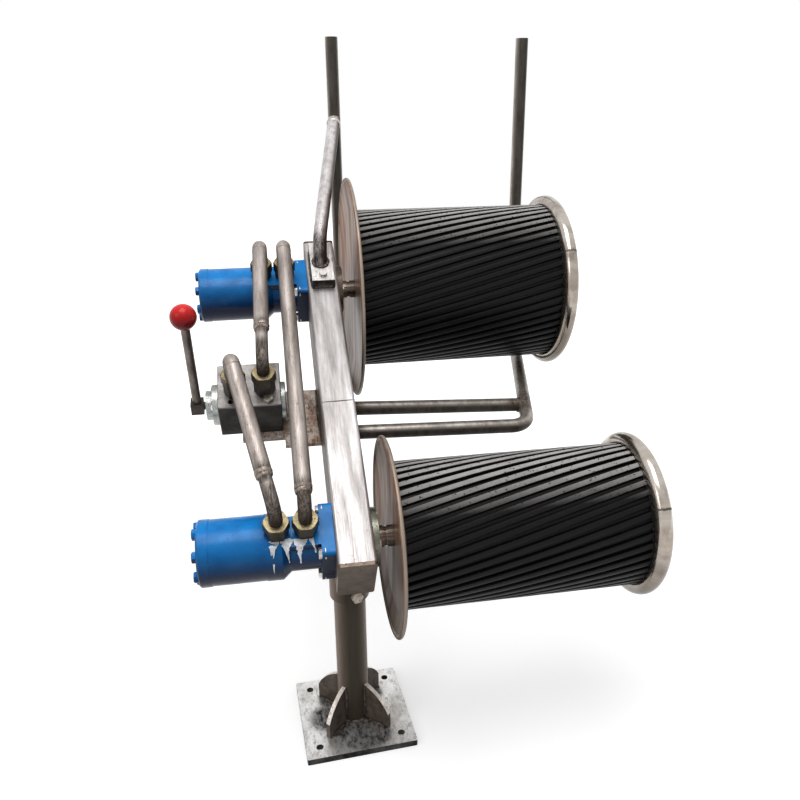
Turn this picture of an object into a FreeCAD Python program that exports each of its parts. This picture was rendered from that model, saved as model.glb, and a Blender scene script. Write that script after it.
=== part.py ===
# Net hauler: two hydraulic rubber-covered drums side by side on a sloping arm that stands on a
# bolted swivel post. Millimetres, +Z up. The origin is on the underside of the base plate at the
# post's axis, +X runs along the drum axes and +Y up the slope of the arm.
import FreeCAD
import Part
import math
import os

# Base plate and post
plate_side = 200.0
plate_thickness = 12.0
plate_corner_radius = 3.0
mount_hole_spacing = 150.0
mount_hole_diameter = 13.0
plate_turn_deg = 3.35
post_diameter = 57.0
post_wall = 6.0
gusset_reach = 80.0
gusset_thickness = 8.0
gusset_outer_height = 30.0
gusset_inner_height = 76.0
gusset_bulge = 7.0

# Swivel socket over the post, and its lock bolt
running_clearance = 0.05
swivel_gap = 0.3
socket_diameter = 70.0
socket_foot_height = 276.0
socket_plug_height = 385.0
socket_plug_thickness = 12.0
arm_seat_height = 431.0
lock_bolt_height = 291.0
lock_bolt_turn_deg = 15.0
lock_bolt_diameter = 12.0
lock_bolt_head_flats = 19.0
lock_bolt_head_thickness = 8.0

# Sloping arm, a rectangular tube in two lengths
arm_slope_deg = 33.2
arm_width = 60.0
arm_depth = 106.0
arm_wall = 6.0
arm_length = 720.0
arm_corner_radius = 5.0
arm_seam_station = 308.0
arm_cap_thickness = 6.0
post_station = 141.0
front_drum_station = 71.0
rear_drum_station = 631.0

# Hydraulic motors
motor_flange_side = 93.0
motor_flange_thickness = 21.0
motor_flange_corner_radius = 8.0
motor_neck_radius = 41.0
motor_neck_length = 47.0
motor_taper_length = 13.0
motor_body_radius = 52.4
motor_shoulder_length = 25.0
motor_barrel_length = 85.0
motor_barrel_relief = 0.8
motor_cover_length = 18.0
motor_cover_chamfer = 3.0
motor_pilot_radius = 41.0
motor_pilot_length = 5.0
motor_bore_depth = 72.0
port_face_height = 46.0
port_pad_radius = 21.0
port_block_half_width = 26.0
inner_port_offset = 43.0
outer_port_offset = 87.0

# Drum shafts and their bearings
shaft_diameter = 35.0
shaft_groove_width = 5.0
shaft_groove_depth = 2.0
bearing_radius = 48.0
bearing_thickness = 10.0
bearing_spigot_radius = 30.0
bearing_spigot_length = 5.0

# Drums
drum_gap_to_bearing = 26.0
drum_body_length = 389.0
flange_thickness = 3.0
flange_dish_depth = 8.0
flange_rim_radius = 3.5
front_flange_radius = 162.5
rear_flange_radius = 219.0
front_sleeve_radius = 119.0
rear_sleeve_radius = 157.0
sleeve_thickness = 9.0
front_rib_count = 44
rear_rib_count = 57
rib_height = 5.5
rib_crest_share = 0.46
rib_foot_share = 0.62
rib_helix_deg = 14.5
core_wall = 5.0
core_web_thickness = 6.0
ring_tube_diameter = 26.9
ring_standout = 18.0
end_plate_thickness = 6.0
end_plate_setback = 3.0
shaft_standout = 4.0

# Control valve on its bracket
valve_side_gap = 66.0
valve_width = 108.0
valve_station = 309.0
valve_length = 95.0
valve_height = 80.0
valve_edge_chamfer = 1.5
valve_port_station = 343.0
valve_left_port_offset = 144.0
valve_right_port_offset = 93.0
valve_bolt_spacing = 64.0
valve_bolt_station = 322.0
valve_bolt_hole_diameter = 9.0
valve_end_cap_radius = 34.0
valve_end_cap_thickness = 8.0
bracket_thickness = 10.0
bracket_station = 278.0
bracket_length = 120.0
bracket_reach = 138.0
bracket_step_reach = 64.0
bracket_step_depth = 18.0

# Spool housing and control lever
spool_station = 350.0
spool_height = 10.0
spool_flange_radius = 36.0
spool_flange_thickness = 10.0
spool_nose_radius = 26.0
spool_nose_length = 12.0
lever_pin_diameter = 14.0
lever_pin_engagement = 18.0
lever_side_gap = 5.0
lever_clamp_width = 22.0
lever_clamp_depth = 22.0
lever_clamp_height = 22.0
lever_rod_diameter = 15.0
lever_length = 188.0
lever_ball_diameter = 43.0
lever_lean_deg = 20.3

# Pipe unions and pressure pipes
adapter_flats = 32.0
motor_adapter_height = 14.0
valve_adapter_height = 28.0
nut_flats = 36.0
nut_height = 22.0
nut_chamfer = 2.0
union_clearance = 0.1
pipe_end_diameter = 21.3
pipe_main_diameter = 26.9
front_pipe_height = 115.0
rear_pipe_height = 128.0
valve_pipe_height = 131.0
valve_elbow_height = 146.0
pipe_bend_radius = 27.0
pipe_elbow_radius = 16.0
inner_weld_setback = 30.0
outer_weld_setback = 60.0
valve_weld_setback = 74.0

# Net guides, their legs and the brace, with their heights above the arm's seat
guide_diameter = 26.9
guide_wall = 2.6
guide_bend_radius = 70.0
guide_foot_bend_radius = 42.0
weld_gap = 0.1
right_guide_x = 478.0
right_guide_y = 607.0
right_guide_top = 802.0
right_guide_drum_clearance = 19.3
right_foot_x = 376.0
right_foot_y = 160.0
right_foot_height = 74.0
leg_arm_height = 88.0
upper_leg_x = 393.0
upper_leg_y = 234.0
upper_leg_height = 89.0
upper_leg_arm_x = -6.0
upper_leg_arm_y = 205.0
upper_leg_arm_height = 120.0
left_guide_x = 61.0
left_guide_y = 625.0
left_guide_top = 804.0
left_guide_run_height = 89.0
left_guide_foot_y = 110.0
brace_x = -2.0
brace_foot_y = 341.0
brace_bend_height = 421.0
brace_top_height = 641.0
brace_bend_radius = 60.0
shoe_width = 43.0
shoe_height = 22.0
shoe_wall = 3.0
shoe_station = 583.0
shoe_length = 107.0
shoe_bolt_offset = 15.0
shoe_bolt_flats = 13.0
shoe_bolt_head_height = 6.0

# Sizes that follow from the ones above
post_top = socket_plug_height - swivel_gap
arm_half_width = arm_width / 2
arm_half_depth = arm_depth / 2
motor_flange_x = -arm_half_width - motor_flange_thickness
motor_neck_x = motor_flange_x - motor_neck_length
motor_shoulder_x = motor_neck_x - motor_taper_length
motor_barrel_x = motor_shoulder_x - motor_shoulder_length
motor_cover_x = motor_barrel_x - motor_barrel_length
shaft_radius = shaft_diameter / 2
bearing_face_x = arm_half_width + bearing_thickness
flange_x = bearing_face_x + drum_gap_to_bearing
sleeve_x = flange_x + flange_thickness
sleeve_end_x = sleeve_x + drum_body_length
ring_x = sleeve_end_x + ring_tube_diameter / 2
end_plate_x = ring_x - end_plate_setback
valve_right_x = -arm_half_width - valve_side_gap
valve_left_x = valve_right_x - valve_width
valve_floor = arm_half_depth - valve_height
motor_nut_base = port_face_height + motor_adapter_height
valve_nut_base = arm_half_depth + valve_adapter_height

UP = FreeCAD.Vector(0, 0, 1)
ALONG_X = FreeCAD.Vector(1, 0, 0)
ALONG_Y = FreeCAD.Vector(0, 1, 0)

# The arm's own frame: x as above, s along the arm from its lower end, q square to its top face
# from the line that joins the two drum axes.
slope = FreeCAD.Rotation(ALONG_X, arm_slope_deg)
post_on_arm = slope.multVec(FreeCAD.Vector(0, post_station, -arm_half_depth))
arm_origin = FreeCAD.Vector(0, 0, arm_seat_height).sub(post_on_arm)
arm_place = FreeCAD.Placement(arm_origin, slope)


def on_arm(shape):
    """Move a shape from the arm's own frame to its place."""
    shape.Placement = arm_place.multiply(shape.Placement)
    return shape


def arm_point(x, s, q):
    """Return the place of a point given in the arm's own frame."""
    return arm_place.multVec(FreeCAD.Vector(x, s, q))


def box(x0, x1, y0, y1, z0, z1):
    """Return a box between two corners."""
    return Part.makeBox(x1 - x0, y1 - y0, z1 - z0, FreeCAD.Vector(x0, y0, z0))


def cylinder_x(radius, x0, x1, y=0.0, z=0.0):
    """Return a cylinder along X."""
    return Part.makeCylinder(radius, x1 - x0, FreeCAD.Vector(x0, y, z), ALONG_X)


def cylinder_z(radius, z0, z1, x=0.0, y=0.0):
    """Return an upright cylinder."""
    return Part.makeCylinder(radius, z1 - z0, FreeCAD.Vector(x, y, z0), UP)


def hexagon_z(flats, z0, z1, x=0.0, y=0.0):
    """Return an upright hexagonal prism of the given width across flats."""
    reach = flats / math.sqrt(3)
    turns = [math.radians(60 * step) for step in range(7)]
    corners = [FreeCAD.Vector(x + reach * math.cos(t), y + reach * math.sin(t), z0) for t in turns]
    return Part.Face(Part.makePolygon(corners)).extrude(UP * (z1 - z0))


def turned_x(profile):
    """Return the solid that a closed profile of (x, radius) points makes when turned about X."""
    points = [FreeCAD.Vector(x, 0, radius) for x, radius in profile]
    face = Part.Face(Part.makePolygon(points + points[:1]))
    return face.revolve(FreeCAD.Vector(0, 0, 0), ALONG_X, 360)


def turned_z(profile):
    """Return the solid that a closed profile of (radius, z) points makes when turned about Z."""
    points = [FreeCAD.Vector(radius, 0, z) for radius, z in profile]
    face = Part.Face(Part.makePolygon(points + points[:1]))
    return face.revolve(FreeCAD.Vector(0, 0, 0), UP, 360)


def along(start, towards, distance):
    """Return the point a distance from start on the way to another point."""
    step = towards.sub(start)
    step.normalize()
    return start.add(step * distance)


def bent_path(points, radii):
    """Return a wire of straight runs joined by tangent arcs, one radius for each inner point."""
    edges = []
    start = points[0]
    for before, corner, after, radius in zip(points, points[1:], points[2:], radii):
        to_before = before.sub(corner)
        to_after = after.sub(corner)
        half = to_before.getAngle(to_after) / 2
        arc_start = along(corner, before, radius / math.tan(half))
        arc_end = along(corner, after, radius / math.tan(half))
        to_before.normalize()
        to_after.normalize()
        centre = along(corner, corner.add(to_before).add(to_after), radius / math.sin(half))
        arc_middle = along(centre, corner, radius)
        edges.append(Part.LineSegment(start, arc_start).toShape())
        edges.append(Part.Arc(arc_start, arc_middle, arc_end).toShape())
        start = arc_end
    edges.append(Part.LineSegment(start, points[-1]).toShape())
    return Part.Wire(edges)


def bent_rod(points, radii, diameter):
    """Return a round bar bent along a path."""
    path = bent_path(points, radii)
    ring = Part.makeCircle(diameter / 2, points[0], points[1].sub(points[0]))
    return path.makePipeShell([Part.Wire(ring)], True, False)


def bent_tube(points, radii, diameter, wall):
    """Return a round tube bent along a path, open at both ends."""
    outside = bent_rod(points, radii, diameter)
    return outside.cut(bent_rod(points, radii, diameter - 2 * wall))


def arm_block():
    """Return a block that fills the arm's outline and runs on above it."""
    return on_arm(box(-arm_half_width, arm_half_width, 0, arm_length, -arm_half_depth, 2 * arm_depth))


def base_plate():
    """Square mounting plate with four bolt holes."""
    half = plate_side / 2
    plate = box(-half, half, -half, half, 0, plate_thickness)
    corners = [edge for edge in plate.Edges if abs(edge.tangentAt(edge.FirstParameter).z) > 0.9]
    plate = plate.makeFillet(plate_corner_radius, corners)
    reach = mount_hole_spacing / 2
    for x in (-reach, reach):
        for y in (-reach, reach):
            plate = plate.cut(cylinder_z(mount_hole_diameter / 2, 0, plate_thickness, x, y))
    plate.rotate(FreeCAD.Vector(0, 0, 0), UP, plate_turn_deg)
    return plate


def base_tube():
    """Post tube, which rises inside the head's socket."""
    tube = cylinder_z(post_diameter / 2, plate_thickness, post_top)
    return tube.cut(cylinder_z(post_diameter / 2 - post_wall, plate_thickness, post_top))


def base_gussets():
    """Four diagonal gussets with rounded sloping edges between the plate and the post."""
    gussets = []
    inner = post_diameter / 2 - post_wall / 2
    floor = plate_thickness
    low = FreeCAD.Vector(gusset_reach, 0, floor + gusset_outer_height)
    high = FreeCAD.Vector(post_diameter / 2, 0, floor + gusset_inner_height)
    out = FreeCAD.Vector(high.z - low.z, 0, low.x - high.x)
    middle = (low + high) * 0.5 + out * (gusset_bulge / out.Length)
    corners = [high, FreeCAD.Vector(inner, 0, high.z), FreeCAD.Vector(inner, 0, floor),
               FreeCAD.Vector(gusset_reach, 0, floor), low]
    edges = [Part.makeLine(start, end) for start, end in zip(corners, corners[1:])]
    profile = Part.Face(Part.Wire([Part.Arc(low, middle, high).toShape()] + edges))
    profile.translate(ALONG_Y * (-gusset_thickness / 2))
    for quarter in range(4):
        web = profile.extrude(ALONG_Y * gusset_thickness)
        web.rotate(FreeCAD.Vector(0, 0, 0), UP, plate_turn_deg + 45 + 90 * quarter)
        web = web.cut(cylinder_z(post_diameter / 2, 0, post_top))
        gussets.append(web)
    return Part.makeCompound(gussets)


def aim_lock_bolt(shape):
    """Lay an upright shape on the lock bolt's axis, with its top towards the front."""
    shape.rotate(FreeCAD.Vector(0, 0, 0), ALONG_X, 90)
    shape.rotate(FreeCAD.Vector(0, 0, 0), UP, lock_bolt_turn_deg)
    shape.translate(FreeCAD.Vector(0, 0, lock_bolt_height))
    return shape


def lock_bolt():
    """Hexagon bolt through the socket's front wall, with its tip just short of the post."""
    socket_radius = socket_diameter / 2
    head = hexagon_z(lock_bolt_head_flats, socket_radius, socket_radius + lock_bolt_head_thickness)
    tip = post_diameter / 2 + 2 * running_clearance
    return aim_lock_bolt(head.fuse(cylinder_z(lock_bolt_diameter / 2, tip, socket_radius)))


def swivel_socket():
    """Socket that turns over the post on its plug, cut off square to the arm's underside."""
    radius = socket_diameter / 2
    bore = post_diameter / 2 + running_clearance
    plug_top = socket_plug_height + socket_plug_thickness
    top = arm_seat_height + arm_depth
    profile = [(bore, socket_foot_height), (radius, socket_foot_height), (radius, top), (bore, top),
               (bore, plug_top), (0, plug_top), (0, socket_plug_height), (bore, socket_plug_height)]
    above_arm = on_arm(box(-radius, radius, 0, arm_length, -arm_half_depth, 2 * arm_depth))
    socket = turned_z(profile).cut(above_arm)
    return socket.cut(aim_lock_bolt(cylinder_z(lock_bolt_diameter / 2, 0, radius)))


def arm_tube(start, end, motor_stations):
    """One length of the arm's rectangular tube, bored through both sides at each drum."""
    shell = box(-arm_half_width, arm_half_width, start, end, -arm_half_depth, arm_half_depth)
    long_edges = [edge for edge in shell.Edges if abs(edge.tangentAt(edge.FirstParameter).y) > 0.9]
    shell = shell.makeFillet(arm_corner_radius, long_edges)
    shell = shell.cut(box(arm_wall - arm_half_width, arm_half_width - arm_wall, start, end,
                          arm_wall - arm_half_depth, arm_half_depth - arm_wall))
    for station in motor_stations:
        shell = shell.cut(cylinder_x(motor_pilot_radius + union_clearance, -arm_half_width, 0, station))
        shell = shell.cut(cylinder_x(bearing_spigot_radius + union_clearance, 0, arm_half_width, station))
    return on_arm(shell)


def arm_end_caps():
    """Plates that close the arm's two ends."""
    caps = []
    for start in (0, arm_length - arm_cap_thickness):
        cap = box(-arm_half_width, arm_half_width, start, start + arm_cap_thickness,
                  -arm_half_depth, arm_half_depth)
        edges = [edge for edge in cap.Edges if abs(edge.tangentAt(edge.FirstParameter).y) > 0.9]
        caps.append(on_arm(cap.makeFillet(arm_corner_radius, edges)))
    return Part.makeCompound(caps)


def rounded_square_wire(side, corner, x):
    """Return a square with rounded corners in the plane at x, centred on the X axis."""
    half = side / 2
    block = box(x, x + 1, -half, half, -half, half)
    edges = [edge for edge in block.Edges if abs(edge.tangentAt(edge.FirstParameter).x) > 0.9]
    block = block.makeFillet(corner, edges)
    face = [face for face in block.Faces if abs(face.CenterOfMass.x - x) < 1e-6][0]
    return face.OuterWire


def motor_housing(station):
    """Motor housing casting: square flange, round neck, tapered shoulder and a block with two ports."""
    flange = Part.Face(rounded_square_wire(motor_flange_side, motor_flange_corner_radius, motor_flange_x))
    housing = flange.extrude(ALONG_X * motor_flange_thickness)
    body = turned_x([(motor_barrel_x, 0), (motor_barrel_x, motor_body_radius),
                     (motor_shoulder_x, motor_body_radius), (motor_neck_x, motor_neck_radius),
                     (motor_flange_x, motor_neck_radius), (motor_flange_x, 0)])
    housing = housing.fuse(body)
    housing = housing.fuse(box(motor_barrel_x, motor_flange_x, -port_block_half_width, port_block_half_width,
                               0, port_face_height))
    pilot_end = motor_pilot_length - arm_half_width
    housing = housing.fuse(cylinder_x(motor_pilot_radius, -arm_half_width, pilot_end))
    for offset in (inner_port_offset, outer_port_offset):
        x = -arm_half_width - offset
        housing = housing.cut(cylinder_z(port_pad_radius, port_face_height, 2 * motor_body_radius, x))
    bore = cylinder_x(shaft_radius + running_clearance, -arm_half_width - motor_bore_depth, 0)
    housing = housing.cut(bore).removeSplitter()
    housing.translate(FreeCAD.Vector(0, station, 0))
    return on_arm(housing)


def motor_barrel(station):
    """Round gear section of a motor."""
    radius = motor_body_radius - motor_barrel_relief
    return on_arm(cylinder_x(radius, motor_cover_x, motor_barrel_x, station))


def motor_end_cover(station):
    """Chamfered rear cover of a motor."""
    end = motor_cover_x - motor_cover_length
    cover = turned_x([(end, 0), (end, motor_body_radius - motor_cover_chamfer),
                      (end + motor_cover_chamfer, motor_body_radius),
                      (motor_cover_x, motor_body_radius), (motor_cover_x, 0)])
    cover.translate(FreeCAD.Vector(0, station, 0))
    return on_arm(cover)


def bearing(station):
    """Bearing plate with a spigot in the arm's right side."""
    plate = cylinder_x(bearing_radius, arm_half_width, bearing_face_x)
    spigot_start = arm_half_width - bearing_spigot_length
    plate = plate.fuse(cylinder_x(bearing_spigot_radius, spigot_start, arm_half_width))
    plate = plate.cut(cylinder_x(shaft_radius + running_clearance, 0, bearing_face_x))
    plate.translate(FreeCAD.Vector(0, station, 0))
    return on_arm(plate)


def drum_shaft(station):
    """Shaft from the motor through the bearing to the drum's end plate, with a groove."""
    start = running_clearance - arm_half_width - motor_bore_depth
    end = end_plate_x + end_plate_thickness + shaft_standout
    groove = bearing_face_x + (drum_gap_to_bearing - shaft_groove_width) / 2
    groove_end = groove + shaft_groove_width
    floor = shaft_radius - shaft_groove_depth
    shaft = turned_x([(start, 0), (start, shaft_radius), (groove, shaft_radius), (groove, floor),
                      (groove_end, floor), (groove_end, shaft_radius), (end, shaft_radius), (end, 0)])
    shaft.translate(FreeCAD.Vector(0, station, 0))
    return on_arm(shaft)


def drum_flange(station, flange_radius, sleeve_radius):
    """Thin inner flange, dished towards the arm, with a rolled rim."""
    shoulder = sleeve_radius + flange_thickness
    rim = flange_radius - flange_rim_radius
    disc = turned_x([(flange_x, shaft_radius), (flange_x, shoulder), (flange_x - flange_dish_depth, rim),
                     (flange_x + flange_thickness - flange_dish_depth, rim),
                     (sleeve_x, shoulder), (sleeve_x, shaft_radius)])
    rim_x = flange_x - flange_dish_depth + flange_thickness / 2
    disc = disc.fuse(Part.makeTorus(rim, flange_rim_radius, FreeCAD.Vector(rim_x, 0, 0), ALONG_X))
    disc.translate(FreeCAD.Vector(0, station, 0))
    return on_arm(disc)


def drum_core(station, sleeve_radius):
    """Steel drum tube with a web at its inner end."""
    radius = sleeve_radius - sleeve_thickness
    inside = radius - core_wall
    web_end = sleeve_x + core_web_thickness
    core = turned_x([(sleeve_x, shaft_radius), (sleeve_x, radius), (end_plate_x, radius),
                     (end_plate_x, inside), (web_end, inside), (web_end, shaft_radius)])
    core.translate(FreeCAD.Vector(0, station, 0))
    return on_arm(core)


def drum_sleeve(station, sleeve_radius, rib_count):
    """Rubber sleeve on the drum tube, with helical ribs that rise from the arm towards the outer end."""
    root = sleeve_radius - rib_height
    rib_turn = 2 * math.pi / rib_count
    outline = []
    for rib in range(rib_count):
        for radius, share in ((root, -rib_foot_share), (sleeve_radius, -rib_crest_share),
                              (sleeve_radius, rib_crest_share), (root, rib_foot_share)):
            turn = rib_turn * (rib + share / 2)
            outline.append(FreeCAD.Vector(radius * math.cos(turn), radius * math.sin(turn), 0))
    pitch = 2 * math.pi * sleeve_radius / math.tan(math.radians(rib_helix_deg))
    helix = Part.makeHelix(pitch, drum_body_length, root, 0, True)
    sleeve = helix.makePipeShell([Part.makePolygon(outline + outline[:1])], True, True)
    sleeve = sleeve.cut(cylinder_z(sleeve_radius - sleeve_thickness, 0, drum_body_length))
    sleeve.rotate(FreeCAD.Vector(0, 0, 0), ALONG_Y, 90)
    sleeve.translate(FreeCAD.Vector(sleeve_x, station, 0))
    return on_arm(sleeve)


def drum_end_ring(station, sleeve_radius):
    """Outer end plate with a tube rolled round its edge."""
    tube_radius = ring_tube_diameter / 2
    middle = sleeve_radius + ring_standout - tube_radius
    ring = Part.makeTorus(middle, tube_radius, FreeCAD.Vector(ring_x, 0, 0), ALONG_X)
    plate = cylinder_x(middle, end_plate_x, end_plate_x + end_plate_thickness)
    plate = plate.cut(cylinder_x(shaft_radius, end_plate_x, end_plate_x + end_plate_thickness))
    ring = ring.fuse(plate)
    ring = ring.cut(cylinder_x(sleeve_radius - sleeve_thickness, sleeve_x, end_plate_x))
    ring.translate(FreeCAD.Vector(0, station, 0))
    return on_arm(ring)


def valve_block():
    """Machined valve body with two mounting holes down through it."""
    block = box(valve_left_x, valve_right_x, valve_station, valve_station + valve_length,
                valve_floor, arm_half_depth)
    block = block.makeChamfer(valve_edge_chamfer, block.Edges)
    middle = (valve_left_x + valve_right_x) / 2
    for x in (middle - valve_bolt_spacing / 2, middle + valve_bolt_spacing / 2):
        hole = cylinder_z(valve_bolt_hole_diameter / 2, valve_floor, arm_half_depth, x, valve_bolt_station)
        block = block.cut(hole)
    return on_arm(block)


def valve_end_cap():
    """Round cover on the valve's right side, in line with the spool."""
    end = valve_right_x + valve_end_cap_thickness
    cap = turned_x([(valve_right_x, 0), (valve_right_x, valve_end_cap_radius),
                    (end - valve_edge_chamfer, valve_end_cap_radius),
                    (end, valve_end_cap_radius - valve_edge_chamfer), (end, 0)])
    cap.translate(FreeCAD.Vector(0, spool_station, spool_height))
    return on_arm(cap)


def valve_bracket():
    """Stepped flat bracket that carries the valve from the arm's left side."""
    start = bracket_station
    step = bracket_station + bracket_step_depth
    end = bracket_station + bracket_length
    step_x = -arm_half_width - bracket_step_reach
    end_x = -arm_half_width - bracket_reach
    outline = [(-arm_half_width, start), (-arm_half_width, end), (end_x, end), (end_x, step),
               (step_x, step), (step_x, start)]
    points = [FreeCAD.Vector(x, s, valve_floor - bracket_thickness) for x, s in outline]
    return on_arm(Part.Face(Part.makePolygon(points + points[:1])).extrude(UP * bracket_thickness))


def spool_housing():
    """Stepped round housing of the valve spool, bored for the lever's pin."""
    nose_x = valve_left_x - spool_flange_thickness
    end_x = nose_x - spool_nose_length
    housing = cylinder_x(spool_flange_radius, nose_x, valve_left_x)
    housing = housing.fuse(cylinder_x(spool_nose_radius, end_x, nose_x))
    depth = end_x + lever_pin_engagement + running_clearance
    housing = housing.cut(cylinder_x(lever_pin_diameter / 2 + running_clearance, end_x, depth))
    housing.translate(FreeCAD.Vector(0, spool_station, spool_height))
    return on_arm(housing)


def unions():
    """Return the unions as (x, station, foot height, nut height) in the arm's own frame."""
    places = []
    for station in (front_drum_station, rear_drum_station):
        for offset in (inner_port_offset, outer_port_offset):
            places.append((-arm_half_width - offset, station, port_face_height, motor_nut_base))
    for offset in (valve_left_port_offset, valve_right_port_offset):
        places.append((-arm_half_width - offset, valve_port_station, arm_half_depth, valve_nut_base))
    return places


def port_adapters():
    """Hexagonal adapters screwed into the six ports."""
    return Part.makeCompound([on_arm(hexagon_z(adapter_flats, foot, nut, x, station))
                              for x, station, foot, nut in unions()])


def pipe_nuts():
    """Union nuts with turned ends that hold the pipes on the adapters."""
    nuts = []
    for x, station, foot, base in unions():
        top = base + nut_height
        reach = nut_flats / math.sqrt(3)
        turned = turned_z([(pipe_end_diameter / 2 + union_clearance, base),
                           (reach, base), (reach, top - nut_chamfer), (reach - nut_chamfer, top),
                           (pipe_end_diameter / 2 + union_clearance, top)])
        turned.translate(FreeCAD.Vector(x, station, 0))
        nuts.append(on_arm(turned.common(hexagon_z(nut_flats, base, top, x, station))))
    return Part.makeCompound(nuts)


def pipe(points, radii, main_points):
    """Pressure pipe: a thin pipe with a thicker one over its first elbow and its long run."""
    thin = bent_rod(points, radii, pipe_end_diameter)
    return thin.fuse(bent_rod(main_points, radii[:1], pipe_main_diameter)).removeSplitter()


def pipe_rear_to_front():
    """Pipe that joins the inner ports of the two motors."""
    x = -arm_half_width - inner_port_offset
    points = [arm_point(x, rear_drum_station, motor_nut_base),
              arm_point(x, rear_drum_station, rear_pipe_height),
              arm_point(x, front_drum_station, front_pipe_height),
              arm_point(x, front_drum_station, motor_nut_base)]
    nut_top = arm_point(x, rear_drum_station, motor_nut_base + nut_height)
    main = [nut_top, points[1], along(points[2], points[1], inner_weld_setback)]
    return pipe(points, [pipe_elbow_radius, pipe_bend_radius], main)


def pipe_rear_to_valve():
    """Pipe from the rear motor's outer port to the valve's right port."""
    motor_x = -arm_half_width - outer_port_offset
    valve_x = -arm_half_width - valve_right_port_offset
    points = [arm_point(motor_x, rear_drum_station, motor_nut_base),
              arm_point(motor_x, rear_drum_station, rear_pipe_height),
              arm_point(valve_x, valve_port_station, valve_pipe_height),
              arm_point(valve_x, valve_port_station, valve_nut_base)]
    nut_top = arm_point(motor_x, rear_drum_station, motor_nut_base + nut_height)
    main = [nut_top, points[1], along(points[2], points[1], valve_weld_setback)]
    return pipe(points, [pipe_elbow_radius, pipe_bend_radius], main)


def pipe_valve_to_front():
    """Pipe from the valve's left port to the front motor's outer port."""
    valve_x = -arm_half_width - valve_left_port_offset
    motor_x = -arm_half_width - outer_port_offset
    points = [arm_point(valve_x, valve_port_station, valve_nut_base),
              arm_point(valve_x, valve_port_station, valve_elbow_height),
              arm_point(motor_x, front_drum_station, front_pipe_height),
              arm_point(motor_x, front_drum_station, motor_nut_base)]
    nut_top = arm_point(valve_x, valve_port_station, valve_nut_base + nut_height)
    main = [nut_top, points[1], along(points[2], points[1], outer_weld_setback)]
    return pipe(points, [pipe_elbow_radius, pipe_bend_radius], main)


def brace_shoe():
    """Open box section on the arm that carries the brace, with its bolt head."""
    half = shoe_width / 2
    top = arm_half_depth + shoe_height
    shoe = box(-half, half, shoe_station, shoe_station + shoe_length, arm_half_depth, top)
    shoe = shoe.cut(box(shoe_wall - half, half - shoe_wall, shoe_station, shoe_station + shoe_length,
                        arm_half_depth + shoe_wall, top - shoe_wall))
    bolt = hexagon_z(shoe_bolt_flats, top, top + shoe_bolt_head_height, 0, shoe_station + shoe_bolt_offset)
    return on_arm(shoe.fuse(bolt))


def above_seat(x, y, height):
    """Return a point at a height above the arm's seat."""
    return FreeCAD.Vector(x, y, arm_seat_height + height)


def right_guide_bend():
    """Return the right guide's rear corner, from which its run passes just under the rear drum."""
    foot = above_seat(right_foot_x, right_foot_y, right_foot_height)
    axis = arm_point(right_foot_x, rear_drum_station, 0)
    to_axis = axis.sub(foot)
    reach = rear_sleeve_radius + right_guide_drum_clearance + guide_diameter / 2
    rise = math.atan2(to_axis.z, to_axis.y) - math.asin(reach / to_axis.Length)
    run = right_guide_y - right_foot_y
    return FreeCAD.Vector(right_guide_x, right_guide_y, foot.z + run * math.tan(rise))


def right_guide_points():
    """Return the right guide's corners, from its top to its welded end on the left guide's run."""
    run_share = (right_foot_y - left_guide_foot_y) / (left_guide_y - left_guide_foot_y)
    return [above_seat(right_guide_x, right_guide_y, right_guide_top),
            right_guide_bend(),
            above_seat(right_foot_x, right_foot_y, right_foot_height),
            above_seat(left_guide_x * run_share, right_foot_y, leg_arm_height)]


def left_guide_points():
    """Return the left guide's corners, from its top to its welded end under the arm."""
    return [above_seat(left_guide_x, left_guide_y, left_guide_top),
            above_seat(left_guide_x, left_guide_y, left_guide_run_height),
            above_seat(0, left_guide_foot_y, left_guide_run_height)]


def left_guide():
    """Upright left of the rear drum, bent forward to a weld under the arm."""
    tube = bent_tube(left_guide_points(), [guide_bend_radius], guide_diameter, guide_wall)
    return tube.cut(arm_block())


def right_guide():
    """Upright at the drums' outer end, bent under the rear drum and across to the arm."""
    radii = [guide_bend_radius, guide_foot_bend_radius]
    tube = bent_tube(right_guide_points(), radii, guide_diameter, guide_wall)
    tube = tube.cut(bent_rod(left_guide_points(), [guide_bend_radius], guide_diameter + 2 * weld_gap))
    return tube.cut(arm_block())


def upper_leg():
    """Straight tube from the arm's underside to the right guide."""
    start = above_seat(upper_leg_arm_x, upper_leg_arm_y, upper_leg_arm_height)
    end = above_seat(upper_leg_x, upper_leg_y, upper_leg_height)
    run = end.sub(start)
    leg = Part.makeCylinder(guide_diameter / 2, run.Length, start, run)
    leg = leg.cut(Part.makeCylinder(guide_diameter / 2 - guide_wall, run.Length, start, run))
    radii = [guide_bend_radius, guide_foot_bend_radius]
    leg = leg.cut(bent_rod(right_guide_points(), radii, guide_diameter + 2 * weld_gap))
    return leg.cut(arm_block())


def guide_brace():
    """Bent tube from the shoe on the arm to the left guide."""
    points = [above_seat(brace_x, brace_foot_y, 0),
              above_seat(brace_x, brace_foot_y, brace_bend_height),
              above_seat(left_guide_x, left_guide_y, brace_top_height)]
    tube = bent_tube(points, [brace_bend_radius], guide_diameter, guide_wall)
    tube = tube.cut(bent_rod(left_guide_points(), [guide_bend_radius], guide_diameter + 2 * weld_gap))
    reach = arm_length + arm_depth
    return tube.cut(on_arm(box(-reach, reach, -reach, reach, -reach, arm_half_depth + shoe_height)))


def lever_frame(shape):
    """Move a shape from the lever's own frame, upright on its pivot, to its place."""
    pivot = arm_point(0, spool_station, spool_height)
    lean = FreeCAD.Rotation(ALONG_X, lever_lean_deg)
    shape.Placement = FreeCAD.Placement(pivot, lean).multiply(shape.Placement)
    return shape


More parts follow.
